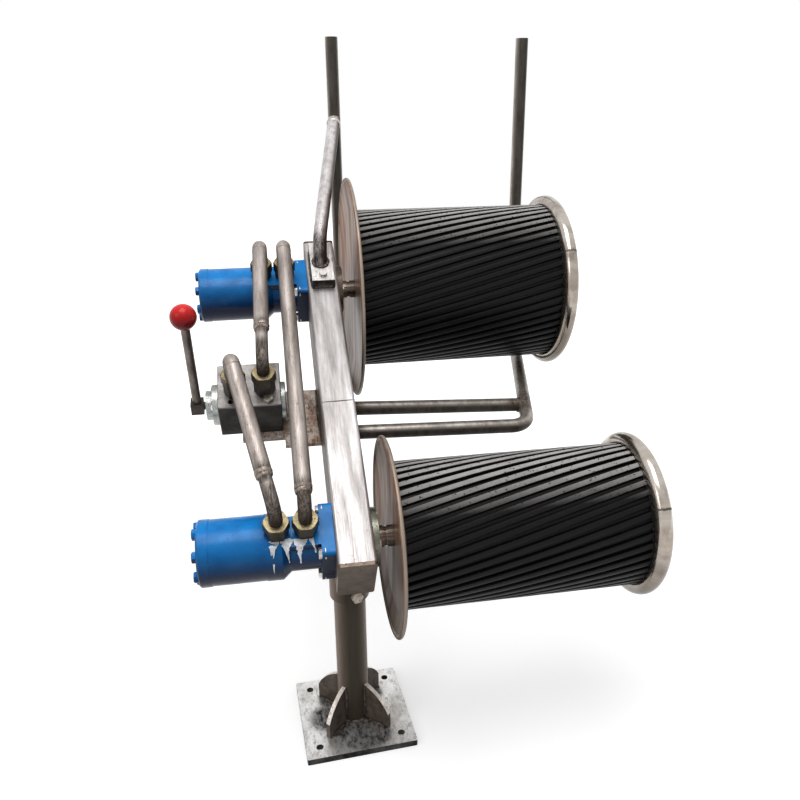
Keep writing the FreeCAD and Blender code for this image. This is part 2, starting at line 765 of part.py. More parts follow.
lever_clamp_right_x = valve_left_x - spool_flange_thickness - spool_nose_length - lever_side_gap
lever_x = lever_clamp_right_x - lever_clamp_width / 2


def lever_clamp():
    """Clamp block with the pin that turns in the spool housing."""
    left = lever_clamp_right_x - lever_clamp_width
    clamp = box(left, lever_clamp_right_x, -lever_clamp_depth / 2, lever_clamp_depth / 2,
                -lever_clamp_height / 2, lever_clamp_height / 2)
    pin_end = lever_clamp_right_x + lever_side_gap + lever_pin_engagement
    clamp = clamp.fuse(cylinder_x(lever_pin_diameter / 2, lever_clamp_right_x, pin_end))
    return lever_frame(clamp)


def lever_rod():
    """Round lever rod."""
    top = lever_length - lever_ball_diameter / 4
    return lever_frame(cylinder_z(lever_rod_diameter / 2, lever_clamp_height / 2, top, lever_x))


def lever_ball():
    """Ball grip, bored for the rod."""
    ball = Part.makeSphere(lever_ball_diameter / 2, FreeCAD.Vector(lever_x, 0, lever_length))
    bore_end = lever_length - lever_ball_diameter / 4
    ball = ball.cut(cylinder_z(lever_rod_diameter / 2, 0, bore_end, lever_x))
    return lever_frame(ball)


def pieces():
    """Return every node's name and shape."""
    shapes = {
        "base_plate": base_plate(),
        "base_tube": base_tube(),
        "base_gussets": base_gussets(),
        "lock_bolt": lock_bolt(),
        "swivel_socket": swivel_socket(),
        "arm_lower": arm_tube(arm_cap_thickness, arm_seam_station, [front_drum_station]),
        "arm_upper": arm_tube(arm_seam_station, arm_length - arm_cap_thickness, [rear_drum_station]),
        "arm_end_caps": arm_end_caps(),
        "valve_block": valve_block(),
        "valve_end_cap": valve_end_cap(),
        "valve_bracket": valve_bracket(),
        "spool_housing": spool_housing(),
        "port_adapters": port_adapters(),
        "pipe_nuts": pipe_nuts(),
        "pipe_rear_to_front": pipe_rear_to_front(),
        "pipe_rear_to_valve": pipe_rear_to_valve(),
        "pipe_valve_to_front": pipe_valve_to_front(),
        "brace_shoe": brace_shoe(),
        "guide_brace": guide_brace(),
        "guide_left": left_guide(),
        "guide_right": right_guide(),
        "upper_leg": upper_leg(),
        "lever_clamp": lever_clamp(),
        "lever_rod": lever_rod(),
        "lever_ball": lever_ball(),
    }
    drums = (("front", front_drum_station, front_flange_radius, front_sleeve_radius, front_rib_count),
             ("rear", rear_drum_station, rear_flange_radius, rear_sleeve_radius, rear_rib_count))
    for name, station, flange_radius, sleeve_radius, rib_count in drums:
        shapes[name + "_motor_housing"] = motor_housing(station)
        shapes[name + "_motor_barrel"] = motor_barrel(station)
        shapes[name + "_motor_end_cover"] = motor_end_cover(station)
        shapes[name + "_bearing"] = bearing(station)
        shapes[name + "_drum_shaft"] = drum_shaft(station)
        shapes[name + "_drum_flange"] = drum_flange(station, flange_radius, sleeve_radius)
        shapes[name + "_drum_core"] = drum_core(station, sleeve_radius)
        shapes[name + "_drum_sleeve"] = drum_sleeve(station, sleeve_radius, rib_count)
        shapes[name + "_drum_end_ring"] = drum_end_ring(station, sleeve_radius)
    return shapes


os.makedirs("parts", exist_ok=True)
for node, shape in pieces().items():
    shape.exportStep("parts/" + node + ".step")
    print(node, len(shape.Solids), shape.isValid(), round(shape.Volume / 1000, 1))
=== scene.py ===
import math

import bpy
from mathutils import Matrix, Vector


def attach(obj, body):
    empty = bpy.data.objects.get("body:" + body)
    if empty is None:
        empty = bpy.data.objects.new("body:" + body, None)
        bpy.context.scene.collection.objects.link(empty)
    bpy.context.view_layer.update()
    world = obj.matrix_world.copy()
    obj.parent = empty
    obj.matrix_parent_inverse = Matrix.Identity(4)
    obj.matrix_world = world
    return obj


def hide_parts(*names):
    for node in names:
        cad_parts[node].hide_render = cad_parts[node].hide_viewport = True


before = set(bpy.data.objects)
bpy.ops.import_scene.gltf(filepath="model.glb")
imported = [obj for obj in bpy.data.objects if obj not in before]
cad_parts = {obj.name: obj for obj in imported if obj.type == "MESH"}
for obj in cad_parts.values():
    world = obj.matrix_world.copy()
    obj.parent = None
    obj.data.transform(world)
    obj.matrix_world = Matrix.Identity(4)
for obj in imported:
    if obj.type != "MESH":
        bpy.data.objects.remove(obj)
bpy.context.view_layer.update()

bpy.context.scene.view_settings.view_transform = "Standard"


# Camera: it stands a little left of the post and above it, and looks down at the hauler.
# The place and the three turns come from the photograph's straight tubes and round rims.
camera_place = Vector((-0.0968, -1.1424, 1.0633))
camera_yaw, camera_pitch, camera_roll = math.radians(-9.56), math.radians(20.25), math.radians(-0.64)
level = Vector((-math.sin(camera_yaw), math.cos(camera_yaw), 0))
across = Vector((math.cos(camera_yaw), math.sin(camera_yaw), 0))
ahead = level * math.cos(camera_pitch) - Vector((0, 0, 1)) * math.sin(camera_pitch)
above = Vector((0, 0, 1)) * math.cos(camera_pitch) + level * math.sin(camera_pitch)
camera_right = across * math.cos(camera_roll) + above * math.sin(camera_roll)
camera_up = above * math.cos(camera_roll) - across * math.sin(camera_roll)
camera = bpy.data.objects.new("camera", bpy.data.cameras.new("camera"))
bpy.context.scene.collection.objects.link(camera)
camera.data.sensor_width = 36.0
camera.data.lens = 33.87
camera.matrix_world = (Matrix.Translation(camera_place)
                       @ Matrix((camera_right, camera_up, -ahead)).transposed().to_4x4())
bpy.context.scene.camera = camera


# Studio: a white room with a broad soft lamp overhead and a weaker one on the left.
# The floor and the room look white to the eye and in the metal, and the floor keeps the shadow.
def add_node(tree, kind, settings=None, inputs=None):
    """Add a node, set its properties, and set or link its inputs. A link is (node, output)."""
    node = tree.nodes.new(kind)
    for name, value in (settings or {}).items():
        setattr(node, name, value)
    for name, value in (inputs or {}).items():
        if isinstance(value, tuple) and isinstance(value[0], bpy.types.Node):
            tree.links.new(value[0].outputs[value[1]], node.inputs[name])
        else:
            node.inputs[name].default_value = value
    return node


def seen_directly(tree):
    """Return a node that is 1 for rays from the eye, off metal and through clear things."""
    path = add_node(tree, "ShaderNodeLightPath")
    two = add_node(tree, "ShaderNodeMath", {"operation": "MAXIMUM"},
                   {0: (path, "Is Camera Ray"), 1: (path, "Is Glossy Ray")})
    return add_node(tree, "ShaderNodeMath", {"operation": "MAXIMUM"},
                    {0: (two, 0), 1: (path, "Is Transmission Ray")})


room = bpy.data.worlds.new("room")
bpy.context.scene.world = room
room.use_nodes = True
sky_way = add_node(room.node_tree, "ShaderNodeTexCoord")
sky_height = add_node(room.node_tree, "ShaderNodeSeparateXYZ", {}, {0: (sky_way, "Generated")})
sky_light = add_node(room.node_tree, "ShaderNodeMapRange", {},
                     {"Value": (sky_height, "Z"), "From Min": -0.2, "From Max": 0.9,
                      "To Min": 0.05, "To Max": 0.6})
sky_tone = add_node(room.node_tree, "ShaderNodeMix", {"data_type": "RGBA"},
                    {0: (seen_directly(room.node_tree), 0), 6: (sky_light, 0), 7: (1.0, 1.0, 1.0, 1.0)})
room_light = room.node_tree.nodes["Background"]
room.node_tree.links.new(sky_tone.outputs[2], room_light.inputs["Color"])

bpy.ops.object.select_all(action="DESELECT")
bpy.ops.mesh.primitive_plane_add(size=16.0, location=(0, 0, -0.0006))
floor = bpy.context.object
floor.name = "floor"
floor_paper = bpy.data.materials.new("studio_paper")
floor_paper.use_nodes = True
paper = floor_paper.node_tree
paper_dull = add_node(paper, "ShaderNodeBsdfDiffuse", {}, {"Color": (0.2, 0.2, 0.2, 1.0)})
paper_pale = add_node(paper, "ShaderNodeBsdfDiffuse", {}, {"Color": (0.78, 0.78, 0.78, 1.0)})
paper_place = add_node(paper, "ShaderNodeTexCoord")
paper_reach = add_node(paper, "ShaderNodeVectorMath", {"operation": "LENGTH"}, {0: (paper_place, "Object")})
paper_rise = add_node(paper, "ShaderNodeMapRange", {}, {"Value": (paper_reach, "Value"), "From Min": 0.7,
                                                        "From Max": 2.4, "To Min": 0.55, "To Max": 0.98})
paper_glow = add_node(paper, "ShaderNodeEmission", {}, {"Strength": (paper_rise, 0)})
paper_white = add_node(paper, "ShaderNodeAddShader", {}, {0: (paper_pale, 0), 1: (paper_glow, 0)})
paper_mix = add_node(paper, "ShaderNodeMixShader", {},
                     {0: (seen_directly(paper), 0), 1: (paper_dull, 0), 2: (paper_white, 0)})
paper.links.new(paper_mix.outputs[0], paper.nodes["Material Output"].inputs["Surface"])
floor.data.materials.append(floor_paper)


def add_lamp(name, place, target, size, watts):
    """Add a square soft lamp that faces a target."""
    lamp = bpy.data.objects.new(name, bpy.data.lights.new(name, "AREA"))
    bpy.context.scene.collection.objects.link(lamp)
    lamp.data.size = size
    lamp.data.energy = watts
    lamp.matrix_world = (Matrix.Translation(place)
                         @ (Vector(target) - Vector(place)).to_track_quat("-Z", "Y").to_matrix().to_4x4())


add_lamp("overhead_lamp", (-0.2, -0.6, 3.0), (0.1, 0.2, 0.6), 1.5, 40.0)
add_lamp("left_lamp", (-2.6, -1.6, 2.2), (0.0, 0.2, 0.6), 1.2, 16.0)


# Base plate: a flame-cut square of mill steel, ground bright in patches and burnt by the welding.
# Four gusset webs are welded between it and the post.
def linear(hex_colour):
    """Turn an sRGB hex value into the linear colour that a shader takes."""
    parts = [int(hex_colour[i:i + 2], 16) / 255 for i in (1, 3, 5)]
    return tuple(p / 12.92 if p <= 0.04045 else ((p + 0.055) / 1.055) ** 2.4 for p in parts) + (1.0,)


def bare_steel(name, pale, dull, stain, grain, turn_deg=0.0, metallic=0.8, rough=(0.28, 0.5),
               stain_cover=0.5, fleck_cover=0.3, pit_cover=0.75, weld_spots=(), burn="#6b5446", painted_dark_side=None,
               painted_flank_shade=None):
    """Bare steel: two greys mottled along the grain, stains, pits, scratches, browned by welds, and painted
    shade on chosen sides.
    """
    material = bpy.data.materials.new(name)
    material.use_nodes = True
    tree = material.node_tree
    shader = tree.nodes["Principled BSDF"]
    place = add_node(tree, "ShaderNodeTexCoord")
    level_way = add_node(tree, "ShaderNodeMapping", {}, {"Vector": (place, "Object"),
                                                         "Rotation": (math.radians(turn_deg), 0, 0)})
    along = add_node(tree, "ShaderNodeMapping", {}, {"Vector": (level_way, 0), "Scale": grain})
    patches = add_node(tree, "ShaderNodeTexNoise", {}, {"Vector": (along, 0), "Scale": 1.0,
                                                        "Detail": 7.0, "Roughness": 0.62})
    patch_mix = add_node(tree, "ShaderNodeMapRange", {}, {"Value": (patches, 0), "From Min": 0.36,
                                                          "From Max": 0.66})
    tone = add_node(tree, "ShaderNodeMix", {"data_type": "RGBA"},
                    {0: (patch_mix, 0), 6: linear(pale), 7: linear(dull)})
    # stains 20 to 60 mm long
    clouds = add_node(tree, "ShaderNodeTexNoise", {}, {"Vector": (along, 0), "Scale": 0.6,
                                                       "Detail": 5.0, "Roughness": 0.7})
    cloud_mix = add_node(tree, "ShaderNodeMapRange", {}, {"Value": (clouds, 0), "From Min": 0.5,
                                                          "From Max": 0.74, "To Max": stain_cover})
    tone = add_node(tree, "ShaderNodeMix", {"data_type": "RGBA"},
                    {0: (cloud_mix, 0), 6: (tone, 2), 7: linear(stain)})
    # flecks 2 to 10 mm long along the grain
    fleck_way = add_node(tree, "ShaderNodeMapping", {}, {"Vector": (along, 0), "Scale": (3.4, 2.2, 3.4)})
    flecks = add_node(tree, "ShaderNodeTexNoise", {}, {"Vector": (fleck_way, 0), "Scale": 1.0,
                                                       "Detail": 5.0, "Roughness": 0.78})
    fleck_mix = add_node(tree, "ShaderNodeMapRange", {}, {"Value": (flecks, 0), "From Min": 0.52,
                                                          "From Max": 0.63, "To Max": fleck_cover})
    tone = add_node(tree, "ShaderNodeMix", {"data_type": "RGBA"},
                    {0: (fleck_mix, 0), 6: (tone, 2), 7: linear(stain)})
    # pits 1 to 3 mm across
    pits = add_node(tree, "ShaderNodeTexNoise", {}, {"Vector": (place, "Object"), "Scale": 260.0,
                                                     "Detail": 2.0})
    pit_mix = add_node(tree, "ShaderNodeMapRange", {}, {"Value": (pits, 0), "From Min": 0.66,
                                                        "From Max": 0.74, "To Max": pit_cover})
    tone = add_node(tree, "ShaderNodeMix", {"data_type": "RGBA"},
                    {0: (pit_mix, 0), 6: (tone, 2), 7: linear("#3a332e")})
    painted_dark_and_burn_masks = []
    if painted_dark_side:
        # painted shade and reflection: faces darken by how they turn against a given direction, broken up by
        # the patches
        facing, dark_from, dark_full, painted_dark_tone = painted_dark_side
        side = add_node(tree, "ShaderNodeVectorMath", {"operation": "DOT_PRODUCT"},
                        {0: (place, "Normal"), 1: facing})
        painted_dark_mix = add_node(tree, "ShaderNodeMapRange", {}, {"Value": (side, "Value"), "From Min": dark_from,
                                                             "From Max": dark_full})
        dark_breakup = add_node(tree, "ShaderNodeMath", {"operation": "MULTIPLY_ADD", "use_clamp": True},
                        {0: (patches, 0), 1: -0.5, 2: 1.2})
        patchy_painted_dark = add_node(tree, "ShaderNodeMath", {"operation": "MULTIPLY"},
                             {0: (painted_dark_mix, 0), 1: (dark_breakup, 0)})
        tone = add_node(tree, "ShaderNodeMix", {"data_type": "RGBA"},
                        {0: (patchy_painted_dark, 0), 6: (tone, 2), 7: linear(painted_dark_tone)})
        painted_dark_and_burn_masks.append(patchy_painted_dark)
    if painted_flank_shade:
        # painted shade: the sides of a tube that lies along the arm are darker brown than its top
        dark_from, dark_full, flank_shade_tone = painted_flank_shade
        across_face = add_node(tree, "ShaderNodeSeparateXYZ", {}, {0: (place, "Normal")})
        across_size = add_node(tree, "ShaderNodeMath", {"operation": "ABSOLUTE"}, {0: (across_face, "X")})
        painted_flank_shade_mix = add_node(tree, "ShaderNodeMapRange", {}, {"Value": (across_size, 0), "From Min": dark_from,
                                                              "From Max": dark_full})
        tone = add_node(tree, "ShaderNodeMix", {"data_type": "RGBA"},
                        {0: (painted_flank_shade_mix, 0), 6: (tone, 2), 7: linear(flank_shade_tone)})
        painted_dark_and_burn_masks.append(painted_flank_shade_mix)
    heat = None
    for spot, weld_reach in weld_spots:
        gap = add_node(tree, "ShaderNodeVectorMath", {"operation": "DISTANCE"},
                       {0: (place, "Object"), 1: tuple(spot)})
        near = add_node(tree, "ShaderNodeMapRange", {"interpolation_type": "SMOOTHSTEP"},
                        {"Value": (gap, "Value"), "From Min": weld_reach * 1.25,
                         "From Max": weld_reach * 0.55})
        heat = near if heat is None else add_node(tree, "ShaderNodeMath", {"operation": "MAXIMUM"},
                                                  {0: (heat, 0), 1: (near, 0)})
    if heat:
        ragged = add_node(tree, "ShaderNodeMath", {"operation": "MULTIPLY"},
                          {0: (heat, 0), 1: (cloud_mix, 0)})
        scorch = add_node(tree, "ShaderNodeMath", {"operation": "MULTIPLY_ADD", "use_clamp": True},
                        {0: (ragged, 0), 1: 1.2, 2: (heat, 0)})
        speckle = add_node(tree, "ShaderNodeMapRange", {}, {"Value": (flecks, 0), "From Min": 0.4,
                                                            "From Max": 0.58, "To Min": 0.5, "To Max": 0.95})
        burn_share = add_node(tree, "ShaderNodeMath", {"operation": "MULTIPLY"},
                              {0: (scorch, 0), 1: (speckle, 0)})
        tone = add_node(tree, "ShaderNodeMix", {"data_type": "RGBA"},
                        {0: (burn_share, 0), 6: (tone, 2), 7: linear(burn)})
        painted_dark_and_burn_masks.append(burn_share)
    tree.links.new(tone.outputs[2], shader.inputs["Base Color"])
    # scratches about 0.4 mm apart, drawn at 1.5 mm so that they show
    scratch_way = add_node(tree, "ShaderNodeMapping", {},
                           {"Vector": (along, 0), "Scale": (14.0, 3.0, 14.0)})
    scratches = add_node(tree, "ShaderNodeTexNoise", {}, {"Vector": (scratch_way, 0), "Scale": 1.0,
                                                          "Detail": 3.0})
    shine = add_node(tree, "ShaderNodeMapRange", {},
                     {"Value": (scratches, 0), "From Min": 0.3, "From Max": 0.7,
                      "To Min": rough[0], "To Max": rough[1]})
    tree.links.new(shine.outputs[0], shader.inputs["Roughness"])
    relief = add_node(tree, "ShaderNodeBump", {}, {"Height": (scratches, 0), "Strength": 0.25,
                                                   "Distance": 0.0006})
    pitted = add_node(tree, "ShaderNodeBump", {"invert": True},
                      {"Height": (pit_mix, 0), "Strength": 0.5, "Distance": 0.0008,
                       "Normal": (relief, 0)})
    tree.links.new(pitted.outputs[0], shader.inputs["Normal"])
    # the painted shade and the burns are matt and no metal
    shader.inputs["Metallic"].default_value = metallic
    bare = None
    for matt_mask in painted_dark_and_burn_masks:
        kept = add_node(tree, "ShaderNodeMath", {"operation": "MULTIPLY_ADD"},
                        {0: (matt_mask, 0), 1: -0.85, 2: 1.0})
        bare = add_node(tree, "ShaderNodeMath", {"operation": "MULTIPLY"},
                        {0: (kept, 0), 1: (bare, 0) if bare else 1.0})
    if bare:
        metal_share = add_node(tree, "ShaderNodeMath", {"operation": "MULTIPLY"},
                               {0: (bare, 0), 1: metallic})
        gloss = add_node(tree, "ShaderNodeMath", {"operation": "MULTIPLY"}, {0: (bare, 0), 1: 0.5})
        tree.links.new(metal_share.outputs[0], shader.inputs["Metallic"])
        tree.links.new(gloss.outputs[0], shader.inputs["Specular IOR Level"])
    return material


def dress(material, *nodes):
    """Give the frame's own nodes a material."""
    for node in nodes:
        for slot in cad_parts[node].material_slots:
            slot.material = material


def finish_piece(piece, name, material, body, smooth_deg=35.0):
    """Fix a modelled piece in place and give it its finish and its body."""
    bpy.ops.object.select_all(action="DESELECT")
    piece.select_set(True)
    bpy.context.view_layer.objects.active = piece
    bpy.ops.object.transform_apply(location=True, rotation=True, scale=True)
    bpy.ops.object.shade_smooth_by_angle(angle=math.radians(smooth_deg))
    piece.name = name
    piece.data.name = name
    piece.data.materials.clear()
    piece.data.materials.append(material)
    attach(piece, body)
    return piece


def join_pieces(pieces):
    """Join pieces into one object."""
    bpy.ops.object.select_all(action="DESELECT")
    for piece in pieces:
        piece.select_set(True)
    bpy.context.view_layer.objects.active = pieces[0]
    if len(pieces) > 1:
        bpy.ops.object.join()
    return bpy.context.view_layer.objects.active


def aimed(place, way):
    """Return the matrix that moves the origin to a place and turns +Z to a direction."""
    return Matrix.Translation(place) @ Vector(way).to_track_quat("Z", "Y").to_matrix().to_4x4()


def weld_run(start, end, bead, seed):
    """Lay one lumpy fillet weld between two points."""
    start, end = Vector(start), Vector(end)
    bpy.ops.object.select_all(action="DESELECT")
    bpy.ops.mesh.primitive_uv_sphere_add(segments=12, ring_count=36, radius=bead)
    run = bpy.context.object
    bpy.ops.object.mode_set(mode="EDIT")
    bpy.ops.mesh.select_all(action="SELECT")
    bpy.ops.transform.resize(value=(1, 1, (end - start).length / 2 / bead))
    bpy.ops.transform.vertex_random(offset=bead * 0.28, normal=0.6, seed=seed)
    bpy.ops.object.mode_set(mode="OBJECT")
    run.matrix_world = aimed((start + end) / 2, end - start)
    return run


def weld_ring(place, way, radius, bead, seed, stretch=1.0):
    """Lay one lumpy weld round a tube."""
    bpy.ops.object.select_all(action="DESELECT")
    bpy.ops.mesh.primitive_torus_add(major_segments=52, minor_segments=9, major_radius=radius,
                                     minor_radius=bead)
    ring = bpy.context.object
    bpy.ops.object.mode_set(mode="EDIT")
    bpy.ops.mesh.select_all(action="SELECT")
    bpy.ops.transform.resize(value=(1, 1, stretch))
    bpy.ops.transform.vertex_random(offset=bead * 0.3, normal=0.6, seed=seed)
    bpy.ops.object.mode_set(mode="OBJECT")
    ring.matrix_world = aimed(place, way)
    return ring


plate_turn = math.radians(3.35)
post_radius = 0.0285
plate_top = 0.012
web_face = 0.0052
weld_metal = bare_steel("weld_metal", "#6b635c", "#38312c", "#2c241f", (160, 160, 160), metallic=0.7,
                        rough=(0.35, 0.6))
gusset_feet = []
gusset_welds = []
for quarter in range(4):
    way = Matrix.Rotation(plate_turn + math.radians(45 + 90 * quarter), 3, "Z")
    gusset_feet.append(way @ Vector((0.055, 0, plate_top)))
    for side in (-web_face, web_face):
        gusset_welds.append(weld_run(way @ Vector((0.031, side, plate_top + 0.001)),
                                     way @ Vector((0.079, side, plate_top + 0.001)), 0.0032,
                                     2 * quarter + int(side > 0)))
        gusset_welds.append(weld_run(way @ Vector((post_radius + 0.001, side, plate_top + 0.004)),
                                     way @ Vector((post_radius + 0.001, side, plate_top + 0.072)), 0.0028,
                                     11 + 2 * quarter + int(side > 0)))
gusset_welds.append(weld_ring((0, 0, plate_top + 0.001), (0, 0, 1), post_radius + 0.0015, 0.0034, 31))
finish_piece(join_pieces(gusset_welds), "base_welds", weld_metal, "base")
burnt_spots = [(foot, 0.024) for foot in gusset_feet] + [((0.0, -0.062, plate_top), 0.042),
                                                         ((0.03, -0.066, plate_top), 0.034),
                                                         ((-0.052, -0.012, plate_top), 0.034)]
# painted shade: the plate's sides and underside are darkened
plate_steel = bare_steel("ground_mill_steel", "#ffffff", "#dedad6", "#8b827b", (34, 26, 34),
                         metallic=0.9, rough=(0.26, 0.45), stain_cover=0.6, fleck_cover=0.6,
                         weld_spots=burnt_spots, burn="#221d1a", painted_dark_side=((0, 0, 1), 0.6, 0.1, "#171412"))
dress(plate_steel, "base_plate")
# painted shade: the webs' upright faces are darkened below their top edges
gusset_steel = bare_steel("flame_cut_web", "#f4ece4", "#cdc2b8", "#85766a", (60, 60, 60), metallic=0.6,
                          rough=(0.32, 0.5), painted_dark_side=((0, 0, 1), 0.3, 0.1, "#554a41"))
dress(gusset_steel, "base_gussets")


# Post, socket and gussets: drawn steel tube as it came, brown-grey, rubbed bright in lines, with a painted
# dark reflection on the side that faces the front.
# The socket turns over the post and is held by one hexagon bolt in its front wall.
# painted reflection: the side that faces the front is darkened
post_steel = bare_steel("dark_drawn_steel", "#7c6759", "#5f4b3e", "#443329", (60, 60, 7), metallic=0.62,
                        rough=(0.3, 0.46), stain_cover=0.6, painted_dark_side=((0, -1, 0), 0.45, 0.97, "#4b453a"))
dress(post_steel, "base_tube", "swivel_socket")
worn_bolt_steel = bare_steel("worn_zinc_bolt", "#aaa298", "#7c746a", "#5c5148", (90, 90, 90),
                             metallic=0.85, rough=(0.3, 0.48))
dress(worn_bolt_steel, "lock_bolt")


# Sloping arm: a rectangular steel tube in two lengths, joined by a ground-off weld.
# Its top is ground bright in long strokes; its sides and underside carry painted shade in dark brown, and
# its lower end is a browner end plate.
arm_slope = math.radians(33.2)
arm_along = Vector((0, math.cos(arm_slope), math.sin(arm_slope)))
arm_normal = Vector((0, -math.sin(arm_slope), math.cos(arm_slope)))
arm_start = Vector((0, 0, 0.431)) - arm_along * 0.141 + arm_normal * 0.053
front_station, rear_station, valve_station = 71.0, 631.0, 350.0
valve_height = 10.0
arm_top, arm_side = 53.0, 30.0


def on_arm(x, station, height):
    """Return the place of a point given in the arm's own frame, in millimetres."""
    return Vector((x / 1000, 0, 0)) + arm_start + arm_along * (station / 1000) + arm_normal * (height / 1000)


# painted shade: the arm's sides and underside are darkened brown
arm_steel = bare_steel("ground_tube_steel", "#cfcccc", "#918c8a", "#857b75", (66, 7, 66), turn_deg=-33.2,
                       metallic=0.7, rough=(0.34, 0.58), stain_cover=0.35, fleck_cover=0.3, pit_cover=0.25,
                       painted_dark_side=((0, 0, 1), 0.7, 0.05, "#4f4035"))
dress(arm_steel, "arm_lower", "arm_upper")
cap_steel = bare_steel("mill_skin_plate", "#6e6054", "#57493e", "#3d3229", (50, 50, 50), metallic=0.6,
                       rough=(0.3, 0.5), stain_cover=0.6)
dress(cap_steel, "arm_end_caps")
seam = join_pieces([weld_run(on_arm(-29, 308, arm_top), on_arm(29, 309, arm_top), 0.0009, 41),
                    weld_run(on_arm(arm_side, 308, 50), on_arm(arm_side, 308, -50), 0.0012, 42),
                    weld_run(on_arm(-arm_side, 308, 50), on_arm(-arm_side, 308, -50), 0.0012, 43)])
finish_piece(seam, "arm_seam_weld", weld_metal, "head")
socket_weld = weld_ring(on_arm(0, 141, -arm_top), tuple(arm_normal), 0.0372, 0.0028, 44)
finish_piece(socket_weld, "socket_weld", weld_metal, "head")


# Motors: cast and turned steel under one coat of gloss blue, with a ring of cover bolts painted over
# and four bare flange bolts that hold each one to the arm's side.
def choose(piece, parts, test):
    """Open a piece in edit mode with only the vertices, edges or polygons that pass the test selected."""
    kinds = ("vertices", "edges", "polygons")
    bpy.context.tool_settings.mesh_select_mode = tuple(kind == parts for kind in kinds)
    bpy.ops.object.mode_set(mode="EDIT")
    bpy.ops.mesh.select_all(action="DESELECT")
    bpy.ops.object.mode_set(mode="OBJECT")
    for part in getattr(piece.data, parts):
        part.select = test(part)
    bpy.ops.object.mode_set(mode="EDIT")


def soften_edges(piece, width):
    """Round a piece's edges."""
    soften = piece.modifiers.new("soften", "BEVEL")
    soften.width = width
    soften.segments = 2
    bpy.ops.object.modifier_apply(modifier="soften")


def hexagon_head(flats, height, washer):
    """Model a bolt's hexagon head with a turned top, on its washer, standing on the origin."""
    bpy.ops.object.select_all(action="DESELECT")
    bpy.ops.mesh.primitive_cylinder_add(vertices=6, radius=flats / math.sqrt(3), depth=height,
                                        location=(0, 0, washer + height / 2))
    head = bpy.context.object
    choose(head, "polygons", lambda face: face.normal.z > 0.9)
    bpy.ops.mesh.inset(thickness=flats * 0.07, depth=height * 0.12)
    bpy.ops.object.mode_set(mode="OBJECT")
    soften_edges(head, flats * 0.03)
    bpy.ops.object.select_all(action="DESELECT")
    bpy.ops.mesh.primitive_cylinder_add(vertices=32, radius=flats * 0.66, depth=washer,
                                        location=(0, 0, washer / 2))
    disc = bpy.context.object
    soften_edges(disc, washer * 0.2)
    return join_pieces([head, disc])


def bolt_set(name, head, places, outward, material, body):
    """Copy a bolt head to each place, facing outwards, and join the copies."""
    heads = []
    for number, place in enumerate(places):
        copy = head.copy()
        copy.data = head.data.copy()
        bpy.context.scene.collection.objects.link(copy)
        copy.matrix_world = aimed(place, outward) @ Matrix.Rotation(math.radians(23 * number), 4, "Z")
        heads.append(copy)
    bpy.data.objects.remove(head)
    return finish_piece(join_pieces(heads), name, material, body)


def circle_of_spots(x, station, height, radius, degrees):
    """Return the places of bolts on a circle that faces sideways."""
    turns = [math.radians(angle) for angle in degrees]
    return [on_arm(x, station + radius * math.cos(turn), height + radius * math.sin(turn)) for turn in turns]


def painted(name, colour, shade, chip, under, rough=(0.22, 0.38)):
    """Gloss paint on castings: slow changes of tone, orange peel, dust and small chips, and painted shade
    towards the side that faces the ground.
    """
    material = bpy.data.materials.new(name)
    material.use_nodes = True
    tree = material.node_tree
    shader = tree.nodes["Principled BSDF"]
    place = add_node(tree, "ShaderNodeTexCoord")
    clouds = add_node(tree, "ShaderNodeTexNoise", {}, {"Vector": (place, "Object"), "Scale": 30.0,
                                                       "Detail": 5.0})
    cloud_mix = add_node(tree, "ShaderNodeMapRange", {}, {"Value": (clouds, 0), "From Min": 0.35,
                                                          "From Max": 0.7})
    tone = add_node(tree, "ShaderNodeMix", {"data_type": "RGBA"},
                    {0: (cloud_mix, 0), 6: linear(colour), 7: linear(shade)})
    # chips and dust spots 1 to 2 mm across
    spots = add_node(tree, "ShaderNodeTexNoise", {}, {"Vector": (place, "Object"), "Scale": 330.0,
                                                      "Detail": 1.0})
    spot_mix = add_node(tree, "ShaderNodeMapRange", {}, {"Value": (spots, 0), "From Min": 0.7,
                                                         "From Max": 0.76, "To Max": 0.7})
    tone = add_node(tree, "ShaderNodeMix", {"data_type": "RGBA"},
                    {0: (spot_mix, 0), 6: (tone, 2), 7: linear(chip)})
    # painted shade: the colour darkens towards the side that faces the ground
    facing = add_node(tree, "ShaderNodeSeparateXYZ", {}, {0: (place, "Normal")})
    painted_underside_shade = add_node(tree, "ShaderNodeMapRange", {}, {"Value": (facing, "Z"), "From Min": 0.85,
                                                          "From Max": -0.4})
    tone = add_node(tree, "ShaderNodeMix", {"data_type": "RGBA"},
                    {0: (painted_underside_shade, 0), 6: (tone, 2), 7: linear(under)})
    tree.links.new(tone.outputs[2], shader.inputs["Base Color"])
    shine = add_node(tree, "ShaderNodeMapRange", {}, {"Value": (clouds, 0), "From Min": 0.3,
                                                      "From Max": 0.7, "To Min": rough[0],
                                                      "To Max": rough[1]})
    tree.links.new(shine.outputs[0], shader.inputs["Roughness"])
    # orange peel about 4 mm from crest to crest
    peel = add_node(tree, "ShaderNodeTexNoise", {}, {"Vector": (place, "Object"), "Scale": 240.0,
                                                     "Detail": 1.5})
    relief = add_node(tree, "ShaderNodeBump", {}, {"Height": (peel, 0), "Strength": 0.16,
                                                   "Distance": 0.0007})
    tree.links.new(relief.outputs[0], shader.inputs["Normal"])
    shader.inputs["Specular IOR Level"].default_value = 0.2
    return material


